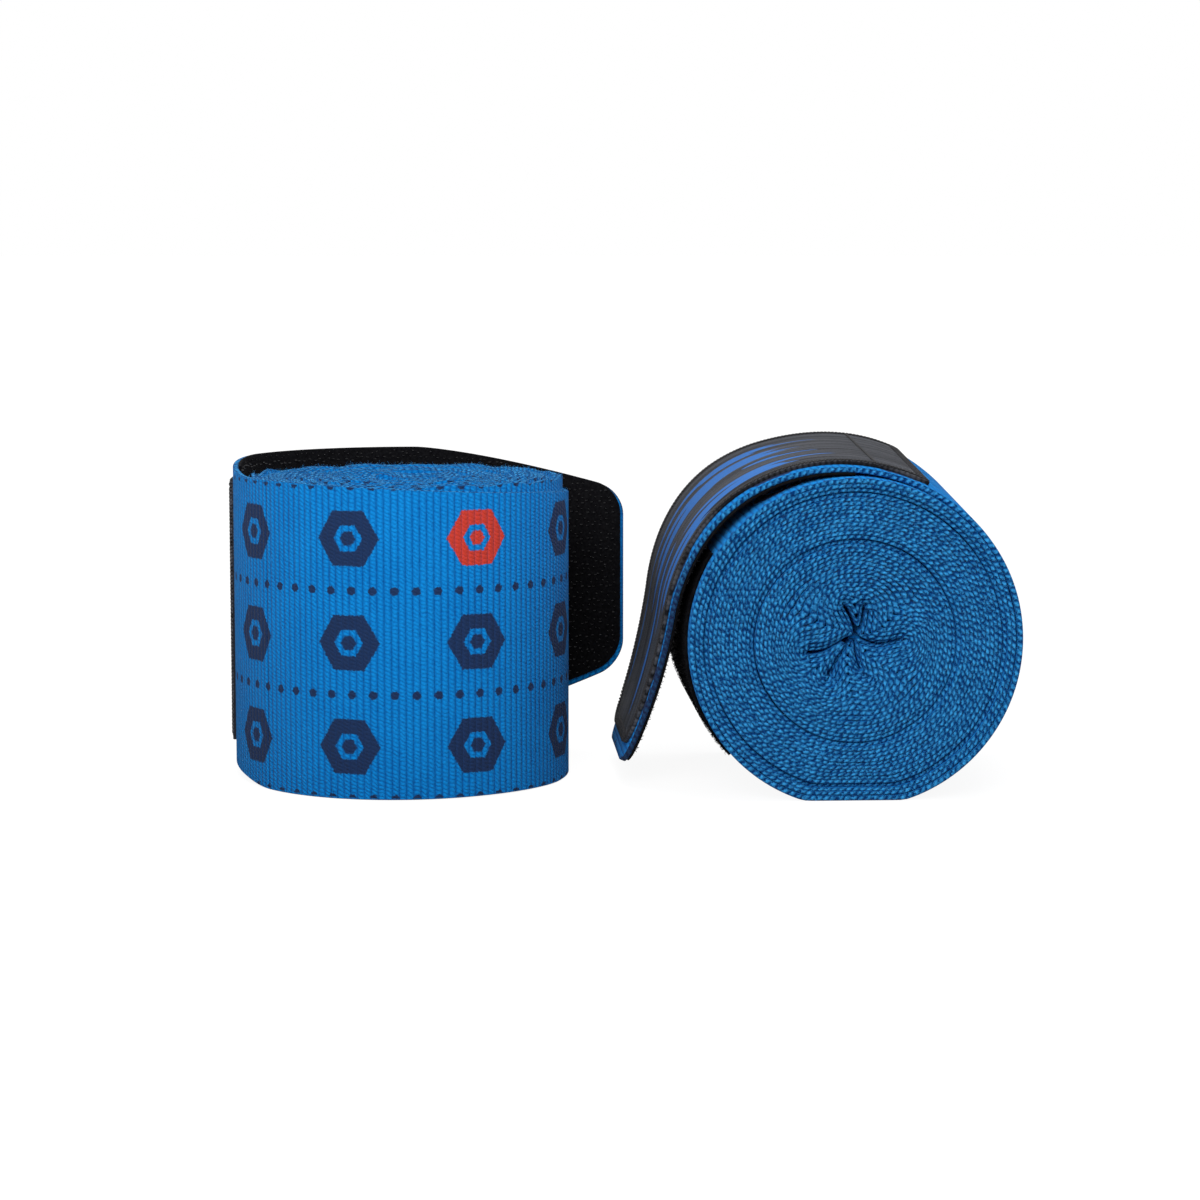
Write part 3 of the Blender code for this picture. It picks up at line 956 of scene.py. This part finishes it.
STREAK_RELIEF = 0.6
RAGGED_SCALES = (8.0, 330.0)
RAGGED_DEPTH = 0.050
LABEL_RELIEF = 0.00012
LABEL_ROUGHNESS, LABEL_SPECULAR = 0.75, 0.06
SPREAD_REACH = (0.050, 0.085)


def label_material():
    """Satin weave: fine lines along the band, with blue streaks that taper at both ends."""
    material, tree, shader = new_material("label_weave", LABEL_ROUGHNESS, specular=LABEL_SPECULAR)
    along, across = cloth_fields(tree)
    line = (across * (math.pi / SATIN_LINE)).sine().size()
    shift = (across / SATIN_LINE).whole() * TICK_SHIFT
    tick = (along * (math.pi / SATIN_TICK) + shift).sine().size()
    fleck = space_noise(tree, LABEL_FLECK_SCALE, detail=3.0)
    height = line * LINE_HEIGHT + tick * TICK_HEIGHT + fleck * FLECK_HEIGHT
    drift = across + along * STREAK_LEAN
    brushed = noise_field(along, drift, *BRUSH_SCALES) * BRUSH_DEPTH - BRUSH_DEPTH / 2
    sheen = (height * LABEL_CONTRAST + brushed - LABEL_SHADE).held()
    cloth = mixed_colour(sheen, LABEL_BLACK, LABEL_CHARCOAL)
    ragged = along + noise_field(along, across, *RAGGED_SCALES) * RAGGED_DEPTH - RAGGED_DEPTH / 2
    band = across.size().step(*STREAK_ACROSS) * ragged.step(*STREAK_START) * ragged.step(*STREAK_END)
    torn = noise_field(along, drift, *STREAK_SCALES, detail=1.0)
    streak = (torn + band * STREAK_BAND).step(*STREAK_EDGE)
    blue = mixed_colour(line * LINE_HEIGHT + (1 - LINE_HEIGHT), LABEL_CHARCOAL, STREAK_BLUE)
    paint(shader, mixed_colour(streak, cloth, blue))
    add_bump(shader, height + streak * STREAK_RELIEF, LABEL_RELIEF)
    return material


LABEL_WEAVE = label_material()


def label_inset(places):
    """How far the label stays from the closure's edge: a margin that gets narrower towards the tip."""
    return LABEL_INSET - LABEL_SPREAD * smooth(*SPREAD_REACH, places)


def add_label(roll):
    """The band on the closure's outer face."""
    end = CLOSURE_LENGTH - LABEL_INSET
    places = closure_places(LABEL_START, end)
    path = at_lengths(places, closure_path(roll))
    edges = closure_edges(places, end, label_inset(places))
    heights = (LABEL_SEAT, LABEL_SEAT + LABEL_THICKNESS)
    piece = add_ribbon(roll.body("label"), roll, path, places, edges, heights, LABEL_WEAVE)
    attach(piece, roll.body("closure"))
    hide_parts(roll.body("label_band"))
    flat, area = (2 * HALF_WIDTH, end - LABEL_START), between(edges, places)
    roll.body("tongue")
    print(f"{piece.name}: {1000 * flat[1]:.0f} mm long")


for roll in ROLLS:
    add_label(roll)

# %% [markdown]
# ## Stitches
# The label's edge is oversewn: short threads lie close together, slanted across the edge. One stitch is
# a small capsule, and numpy copies it to every place along the seam.

# %% Label stitches
STITCH_STEP = 0.00062
STITCH_LENGTH = 0.0021
STITCH_RADIUS = 0.00022
STITCH_INSET = 0.0009
STITCH_SLANT = math.radians(66)
SEAM_FROM_START = 0.0085
STITCH_LIFT = 0.00004
STITCH_END = 0.96
SEAM_STEP = 0.0004
SEAM_POINTS = 80
START_POINTS = 90
TWIST_SCALE = 4200.0
TWIST_EDGE = (0.3, 0.7)
TWIST_RELIEF = 0.0001
THREAD_ROUGHNESS, THREAD_SPECULAR = 0.7, 0.1
THREAD_GREY = (0.034, 0.033, 0.035)
THREAD_BLACK = (0.006, 0.006, 0.007)


def thread_material():
    """Dark grey sewing thread with a fine twist."""
    material, tree, shader = new_material("sewing_thread", THREAD_ROUGHNESS, specular=THREAD_SPECULAR)
    speck = space_noise(tree, TWIST_SCALE)
    paint(shader, mixed_colour(speck.step(*TWIST_EDGE), THREAD_BLACK, THREAD_GREY))
    add_bump(shader, speck, TWIST_RELIEF)
    return material


THREAD = thread_material()


def capsule(length, radius, sides=6, rings=5):
    """A stitch: rings along its length whose radius follows half an ellipse, so that its ends sink in."""
    turn = np.arange(sides) * TURN / sides
    share = np.linspace(-STITCH_END, STITCH_END, rings)
    thick = (radius * np.sqrt(1 - share**2))[:, None]
    along = np.broadcast_to((share * length / 2)[:, None], (rings, sides))
    points = np.stack([along, thick * np.cos(turn), thick * np.sin(turn)], axis=-1)
    return points.reshape(-1, 3), grid_faces(rings, sides)


def copied(shape, places, ways, ups):
    """Points and faces of many copies of a shape, with its first axis along ways and its last along ups."""
    points, faces = shape
    frames = np.stack([ways, np.cross(ups, ways), ups], axis=1)
    many = places[:, None, :] + np.einsum("pk,nkj->npj", points, frames)
    shifts = np.arange(len(places)) * len(points)
    return many, [[corner + shift for corner in face] for shift in shifts for face in faces]


def seam_line(roll, inset):
    """Points round the label at an inset from its edge, and then their outward normals."""
    end = CLOSURE_LENGTH - LABEL_INSET - inset
    places = closure_places(LABEL_START + inset, end, SEAM_STEP)
    lower, upper = closure_edges(places, end, label_inset(places) + inset)
    start = np.linspace(lower[0], upper[0], START_POINTS)[1:-1]
    round_places = np.concatenate([places, places[::-1], np.full(len(start), places[0]), places[:1]])
    width_place = np.concatenate([upper, lower[::-1], start, upper[:1]])
    return on_label(roll, round_places, width_place)


def on_label(roll, places, width_place):
    """Points on the label's outer face with unit normals, by distance along and place across."""
    fine = closure_path(roll)
    normals = at_lengths(places, fine, outward(fine))
    plane = at_lengths(places, fine) + (LABEL_SEAT + LABEL_THICKNESS) * normals
    points = to_world(roll, plane, width_place)
    return points, unit(to_world(roll, plane + normals, width_place) - points)


def stitches_on(line, normals, slant_angle):
    """Places, ways and ups of slanted stitches at even steps along a line."""
    places = np.arange(STITCH_STEP / 2, lengths_along(line)[-1], STITCH_STEP)
    at = at_lengths(places, line)
    up = unit(at_lengths(places, line, normals))
    way = at_lengths(places + STITCH_STEP / 2, line) - at_lengths(places - STITCH_STEP / 2, line)
    way = unit(way - np.sum(way * up, axis=1, keepdims=True) * up)
    slant = math.cos(slant_angle) * way + math.sin(slant_angle) * np.cross(up, way)
    return at + STITCH_LIFT * up, slant, up


def add_stitches(roll):
    """Slanted stitches all round the label's edge, and one straight seam across it near its start."""
    edge = stitches_on(*seam_line(roll, STITCH_INSET), STITCH_SLANT)
    seam_place = LABEL_START + SEAM_FROM_START
    inset = LABEL_INSET + 2 * STITCH_INSET
    lower, upper = closure_edges(np.array([seam_place]), CLOSURE_LENGTH, inset)
    across = np.linspace(lower[0], upper[0], SEAM_POINTS)
    cross = stitches_on(*on_label(roll, np.full(len(across), seam_place), across), 0.0)
    places, ways, ups = (np.concatenate(pair) for pair in zip(edge, cross))
    points, faces = copied(capsule(STITCH_LENGTH, STITCH_RADIUS), places, ways, ups)
    piece = make_mesh(roll.body("label_stitches"), points, faces, THREAD)
    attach(piece, roll.body("closure"))
    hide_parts(roll.body("label_seam"))
    print(f"{piece.name}: {len(places)} stitches")


for roll in ROLLS:
    add_stitches(roll)

# %% [markdown]
# ## Hook tape and loop tape
# The closure's inner face carries stiff hook tape, and the turn below it a soft loop patch. The hooks
# are real geometry, thousands of short bent bristles, because their glints are what makes hook tape
# look like itself. The loop patch has short, messy pile.

# %% Tapes and their bristles
HOOK_INSET = 0.0004
HOOK_SHIFT = 0.0006
TAPE_SEAT = 0.00047
HOOK_BASE = 0.00042
HOOK_HEIGHT = 0.00045
HOOK_STEP = 0.00105
HOOK_RADIUS = 0.00009
HOOK_LEAN = 0.6
HOOK_MARGIN = 0.0005
PATCH_START_ANGLE = math.radians(128)
PATCH_END_ANGLE = math.radians(203)
PATCH_INSET = 0.0030
PATCH_BASE = 0.00045
PILE_HEIGHT = 0.00040
PILE_STEP = 0.00080
PILE_RADIUS = 0.00007
PILE_LEAN = 1.1
PILE_MARGIN = 0.0001
PATCH_POINTS = 90
BRISTLE_TAPER = 0.55
BRISTLE_SINK = 0.00005
JITTER = 0.35
HOOK_GRAIN = 2500.0
PILE_GRAIN = 1100.0
GRAIN_EDGE = (0.35, 0.8)
TAPE_BLACK = (0.0015, 0.0014, 0.0020)
TAPE_GREY = (0.006, 0.006, 0.007)
GLINT_GREY = (0.012, 0.012, 0.014)


def tape_material(name, colour, roughness, grain, bump, specular):
    """Black tape with a fine grain."""
    material, tree, shader = new_material(name, roughness, specular=specular)
    fibre = space_noise(tree, grain, detail=4.0)
    paint(shader, mixed_colour(fibre.step(*GRAIN_EDGE), TAPE_BLACK, colour))
    add_bump(shader, fibre, bump)
    return material


HOOK_TAPE = tape_material(
    "hook_tape", TAPE_GREY, roughness=0.9, grain=HOOK_GRAIN, bump=0.0002, specular=0.05
)
HOOK_GLINT = tape_material(
    "hook_glint", GLINT_GREY, roughness=0.28, grain=HOOK_GRAIN, bump=0.00002, specular=0.5
)
LOOP_TAPE = tape_material(
    "loop_tape", TAPE_GREY, roughness=0.95, grain=PILE_GRAIN, bump=0.0006, specular=0.05
)


def bristle(height, radius, lean, sides=3, rings=4):
    """One bristle: a thin tapered stem that leans over more and more towards its top."""
    rise = np.linspace(0, 1, rings)
    thick = (radius * (1 - BRISTLE_TAPER * rise))[:, None]
    turn = np.arange(sides) * TURN / sides
    over = (lean * height * rise**2)[:, None]
    up = np.broadcast_to((height * np.sin(rise * math.pi / 2))[:, None], (rings, sides))
    points = np.stack([over + thick * np.cos(turn), thick * np.sin(turn), up], axis=-1)
    return points.reshape(-1, 3), grid_faces(rings, sides)


def scattered(places, edges, step, margin, seed):
    """Places along and across a tape on a jittered grid, clear of its edges."""
    lower, upper = edges
    rows = np.arange(places[0] + margin, places[-1] - margin, step)
    columns = np.arange(-HALF_WIDTH - CLOSURE_RISE, HALF_WIDTH, step)
    along, across = (grid.ravel() for grid in np.meshgrid(rows, columns, indexing="ij"))
    jitter = np.random.default_rng(seed).uniform(-JITTER, JITTER, (2, len(along))) * step
    along, across = along + jitter[0], across + jitter[1]
    low, high = np.interp(along, places, lower), np.interp(along, places, upper)
    kept = (across > low + margin) & (across < high - margin)
    return along[kept], across[kept]


def bristles_on(name, roll, path, along, across, height, side, shape, material, ways):
    """Bristles that stand on one side of a path, each leaning its own way along the tape."""
    normals = at_lengths(along, path, outward(path))
    plane = at_lengths(along, path) + height * normals
    at = to_world(roll, plane, across)
    up = unit(to_world(roll, plane + side * normals, across) - at)
    turned = np.stack([-normals[:, 1], normals[:, 0]], axis=1)
    way = unit(to_world(roll, plane + turned, across) - at)
    lean = np.cos(ways)[:, None] * way + np.sin(ways)[:, None] * np.cross(up, way)
    points, faces = copied(shape, at, lean, up)
    return make_mesh(name, points, faces, material)


def add_hook_tape(roll):
    """The hook tape: a flat backing and rows of hooks that lean along the tape, turn about in turn."""
    end = CLOSURE_LENGTH - HOOK_INSET
    places = closure_places(roll.hook_start, end)
    path = at_lengths(places, closure_path(roll))
    shift = -HOOK_SHIFT if roll.stands else HOOK_SHIFT
    edges = tuple(edge + shift for edge in closure_edges(places, end, HOOK_INSET))
    heights = (-TAPE_SEAT - HOOK_BASE, -TAPE_SEAT)
    backing = add_ribbon(roll.body("hook_backing"), roll, path, places, edges, heights, HOOK_TAPE)
    along, across = scattered(places, edges, HOOK_STEP, HOOK_MARGIN, roll.seed)
    ways = np.where(np.round(across / HOOK_STEP) % 2 == 0, 0.0, math.pi)
    shape = bristle(HOOK_HEIGHT, HOOK_RADIUS, HOOK_LEAN)
    from_start, foot = along - roll.hook_start, heights[0] + BRISTLE_SINK
    hooks = bristles_on(
        roll.body("hooks"), roll, path, from_start, across, foot, -1, shape, HOOK_GLINT, ways
    )
    for piece in (backing, hooks):
        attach(piece, roll.body("closure"))
        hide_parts(roll.body("hook_patch"))
    flat, area = (2 * HALF_WIDTH, end - roll.hook_start), between(edges, places)
    rests_on = [roll.body("tongue")]
    print(f"{backing.name}: {len(along)} hooks")


def add_loop_patch(roll):
    """The pile patch on the turn below the hooks."""
    angle = roll.root - TURN + np.linspace(PATCH_START_ANGLE, PATCH_END_ANGLE, PATCH_POINTS)
    path = in_plane(angle, outer_radius(angle))
    along = lengths_along(path)
    edge = np.full(len(path), HALF_WIDTH - PATCH_INSET)
    heights = (TAPE_SEAT, TAPE_SEAT + PATCH_BASE)
    backing = add_ribbon(roll.body("loop_backing"), roll, path, along, (-edge, edge), heights, LOOP_TAPE)
    places, across = scattered(along, (-edge, edge), PILE_STEP, PILE_MARGIN, roll.seed + 1)
    ways = np.random.default_rng(roll.seed + 5).uniform(0, TURN, len(places))
    shape, foot = bristle(PILE_HEIGHT, PILE_RADIUS, PILE_LEAN), heights[1] - BRISTLE_SINK
    pile = bristles_on(
        roll.body("loop_pile"), roll, path, places, across, foot, 1, shape, LOOP_TAPE, ways
    )
    for piece in (backing, pile):
        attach(piece, roll.body("wrap"))
        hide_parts(roll.body("loop_patch"))
    roll.body("wound_strip")
    print(f"{backing.name}: {1000 * along[-1]:.0f} mm long, {len(places)} loops")


for roll in ROLLS:
    add_hook_tape(roll)
    add_loop_patch(roll)

# %% [markdown]
# ## Loose fibres
# Woven elastic is never quite clean: short fibres stand off its rims and soften the outline of a roll.
# Each is one thin, bent bristle. They are scattered along both rims of the wound strip, except where it
# meets the floor.

# %% Fibres on the rims
FIBRE_COUNT = 4500
FIBRE_LENGTH = 0.00055
FIBRE_RADIUS = 0.000022
FIBRE_SPREAD = 0.00030
FIBRE_TILT = 0.7
FIBRE_LEAN = 0.8
FIBRE_SIZES = (0.4, 1.0)
FIBRE_TONE_SCALE = 900.0
PROBE = 0.001
FIBRE_TONE_EDGE = (0.35, 0.65)
FLOOR_CLEARANCE = 2 * FIBRE_LENGTH
FIBRE_PALE = (0.100, 0.360, 0.660)


def fibre_material():
    """The strip's own blue, paler where a fibre catches the light."""
    material, tree, shader = new_material("strip_fibre", STRIP_ROUGHNESS, specular=STRIP_SPECULAR)
    tone = space_noise(tree, FIBRE_TONE_SCALE)
    paint(shader, mixed_colour(tone.step(*FIBRE_TONE_EDGE), CLOTH_LIGHT, FIBRE_PALE))
    return material


STRIP_FIBRE = fibre_material()


def add_rim_fibres(roll):
    """Bent fibres at random places along both rims, each tilted its own way."""
    strip = bpy.data.objects[roll.body("wound_strip")]
    path, edges = WOUND_PATHS[roll.name]
    measured = lengths_along(path)
    random = np.random.default_rng(roll.seed + 7)
    places = random.uniform(0, measured[-1], 2 * FIBRE_COUNT)
    sides = np.repeat((-1.0, 1.0), FIBRE_COUNT)
    across = np.where(sides < 0, *(np.interp(places, measured, edge) for edge in edges))
    spread = random.uniform(-FIBRE_SPREAD, FIBRE_SPREAD, len(places))[:, None]
    plane = at_lengths(places, path) + spread * at_lengths(places, path, outward(path))
    at = to_world(roll, plane, across)
    out = unit(to_world(roll, plane, across + PROBE * sides) - at)
    up = unit(out + FIBRE_TILT * unit(random.normal(size=at.shape)))
    way = unit(np.cross(up, random.normal(size=at.shape)))
    size = random.uniform(*FIBRE_SIZES, len(at))[:, None]
    clear = at[:, 2] > FLOOR_CLEARANCE
    shape = bristle(FIBRE_LENGTH, FIBRE_RADIUS, FIBRE_LEAN, rings=3)
    points, faces = copied(shape, at[clear], (size * way)[clear], (size * up)[clear])
    piece = make_mesh(roll.body("rim_fibres"), points, faces, STRIP_FIBRE)
    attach(piece, roll.body("wrap"))
    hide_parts(roll.body("roll"))
    print(f"{piece.name}: {clear.sum()} fibres")


for roll in ROLLS:
    add_rim_fibres(roll)

# %% [markdown]
# ## The thumb loop
# The inner end of a hand wrap has a loop for the thumb. Here it is tucked flat along the core, in one
# of the slits, where only its edges could be seen.

# %% Thumb loop
LOOP_TAPE_WIDTH = 0.0050
LOOP_TAPE_THICKNESS = 0.0004
LOOP_LENGTH = 0.038
LOOP_OPENING = 0.0005
LOOP_CORE_OVERHANG = 0.0004
LOOP_POINTS = 160


def add_thumb_loop(roll):
    """A closed band: a long, flat oval along the axis, swept with the tape's section.

    The oval's two values are the square roots of the cosine and sine of a ring, which fills its corners.
    """
    ring = np.linspace(0, TURN, LOOP_POINTS, endpoint=False)
    half_long, half_open = LOOP_LENGTH / 2, (LOOP_OPENING + LOOP_TAPE_THICKNESS) / 2
    rounded = np.stack([np.cos(ring), np.sin(ring)], axis=1)
    oval = np.sign(rounded) * np.sqrt(np.abs(rounded)) * (half_long, half_open)
    ways = np.roll(oval, -1, axis=0) - np.roll(oval, 1, axis=0)
    normals = unit(np.stack([ways[:, 1], -ways[:, 0]], axis=1))
    corners = np.array([(0, -1), (1, -1), (1, 1), (0, 1)]) * (LOOP_TAPE_WIDTH, LOOP_TAPE_THICKNESS / 2)
    swept = oval[:, None, :] + corners[:, 1][None, :, None] * normals[:, None, :]
    reach = np.broadcast_to(corners[:, 0] - LOOP_CORE_OVERHANG, swept.shape[:2])
    points = to_world(roll, np.stack([reach, swept[..., 1]], axis=-1), swept[..., 0])
    row, column = np.arange(LOOP_POINTS)[:, None], np.arange(4)
    after, beside = (row + 1) % LOOP_POINTS, (column + 1) % 4
    quads = np.stack([row * 4 + column, row * 4 + beside, after * 4 + beside, after * 4 + column], axis=-1)
    piece = make_mesh(roll.body("thumb_tape"), points, quads.reshape(-1, 4).tolist(), WOVEN_STRIP)
    along = np.broadcast_to(lengths_along(oval)[:, None], reach.shape)
    set_cloth(piece, along, reach + UNPRINTED, np.zeros(reach.shape), np.zeros(reach.shape))
    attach(piece, roll.body("wrap"))
    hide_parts(roll.body("thumb_loop"))
    print(f"{piece.name}: {1000 * along[-1, 0]:.0f} mm round")


for roll in ROLLS:
    add_thumb_loop(roll)

# %% [markdown]
# ## Floor and light
# The pair stands on white paper in soft studio light: a large lamp in front, another straight above, a
# weak one on the right, and a dim, even world. Camera rays see the paper and the world as white, with a
# faint shadow near the rolls. Rays that only carry light see a duller floor, so it throws less light
# upwards.

# %% Floor and light
KEY_POWER = 13.0
KEY_SIZE = 0.7
KEY_PLACE = (-0.15, -0.95, 0.62)
TOP_POWER = 9.0
TOP_PLACE = (0.05, 0.05, 0.95)
FILL_POWER = 0.6
FILL_PLACE = (0.7, -0.6, 0.5)
SOFT_SIZE = 0.8
LAMP_AIM = (0.0, 0.0, 0.03)
FLOOR_REACH = 6.0
FLOOR_ROUGHNESS = 0.9
WORLD_LIGHT = 0.16
FLOOR_BOUNCE = 0.45
FLOOR_PAPER = 0.82
FLOOR_WHITE = 0.88
NEAR_GLOW = 1.05
FAR_GLOW = 1.16
GLOW_REACH = (0.15, 1.2)


def camera_sees(tree):
    """1 on rays that make the picture or a reflection in it, and 0 on rays that only carry light."""
    path = tree.nodes.new("ShaderNodeLightPath")
    camera, glossy, through = (
        Field(tree, path.outputs[f"Is {kind} Ray"]) for kind in ("Camera", "Glossy", "Transmission")
    )
    return camera.larger(glossy).larger(through)


def add_floor():
    """A wide pale plane: to the camera, white paper that is brighter further off, with some shadow."""
    corners = [(x * FLOOR_REACH, y * FLOOR_REACH, 0) for x, y in ((-1, -1), (1, -1), (1, 1), (-1, 1))]
    mesh = bpy.data.meshes.new("floor")
    mesh.from_pydata(corners, [], [(0, 1, 2, 3)])
    floor = bpy.data.objects.new("floor", mesh)
    bpy.context.scene.collection.objects.link(floor)
    material, tree, shader = new_material("paper_floor", FLOOR_ROUGHNESS)
    white = tree.nodes.new("ShaderNodeEmission")
    place = tree.nodes.new("ShaderNodeTexCoord")
    distance = tree.nodes.new("ShaderNodeVectorMath")
    distance.operation = "LENGTH"
    tree.links.new(place.outputs["Object"], distance.inputs[0])
    far = Field(tree, distance.outputs["Value"]).step(*GLOW_REACH)
    tree.links.new((far * (FAR_GLOW - NEAR_GLOW) + NEAR_GLOW).socket, white.inputs["Strength"])
    mix = tree.nodes.new("ShaderNodeMixShader")
    seen = camera_sees(tree)
    paint(shader, mixed_colour(seen, (FLOOR_BOUNCE,) * 3, (FLOOR_PAPER,) * 3))
    tree.links.new((seen * FLOOR_WHITE).socket, mix.inputs[0])
    tree.links.new(shader.outputs[0], mix.inputs[1])
    tree.links.new(white.outputs[0], mix.inputs[2])
    tree.links.new(mix.outputs[0], tree.nodes["Material Output"].inputs["Surface"])
    mesh.materials.append(material)


def add_lamp(name, power, size, place):
    """A square area lamp at a place, facing the pair."""
    lamp = bpy.data.lights.new(name, "AREA")
    lamp.energy, lamp.size = power, size
    light = bpy.data.objects.new(name, lamp)
    bpy.context.scene.collection.objects.link(light)
    back = unit(np.array(place) - np.array(LAMP_AIM))
    light.location = place
    light.rotation_euler = (math.acos(back[2]), 0.0, math.atan2(back[0], -back[1]))


def set_world():
    """An even world light that the camera sees as white."""
    world = bpy.data.worlds.new("studio")
    bpy.context.scene.world = world
    world.use_nodes = True
    tree = world.node_tree
    background = tree.nodes["Background"]
    background.inputs["Color"].default_value = (1.0, 1.0, 1.0, 1.0)
    strength = camera_sees(tree) * (1.0 - WORLD_LIGHT) + WORLD_LIGHT
    tree.links.new(strength.socket, background.inputs["Strength"])


add_floor()
add_lamp("key_lamp", KEY_POWER, KEY_SIZE, KEY_PLACE)
add_lamp("top_lamp", TOP_POWER, SOFT_SIZE, TOP_PLACE)
add_lamp("fill_lamp", FILL_POWER, SOFT_SIZE, FILL_PLACE)
set_world()
bpy.context.scene.view_settings.view_transform = "Standard"
print("lamps and floor set")
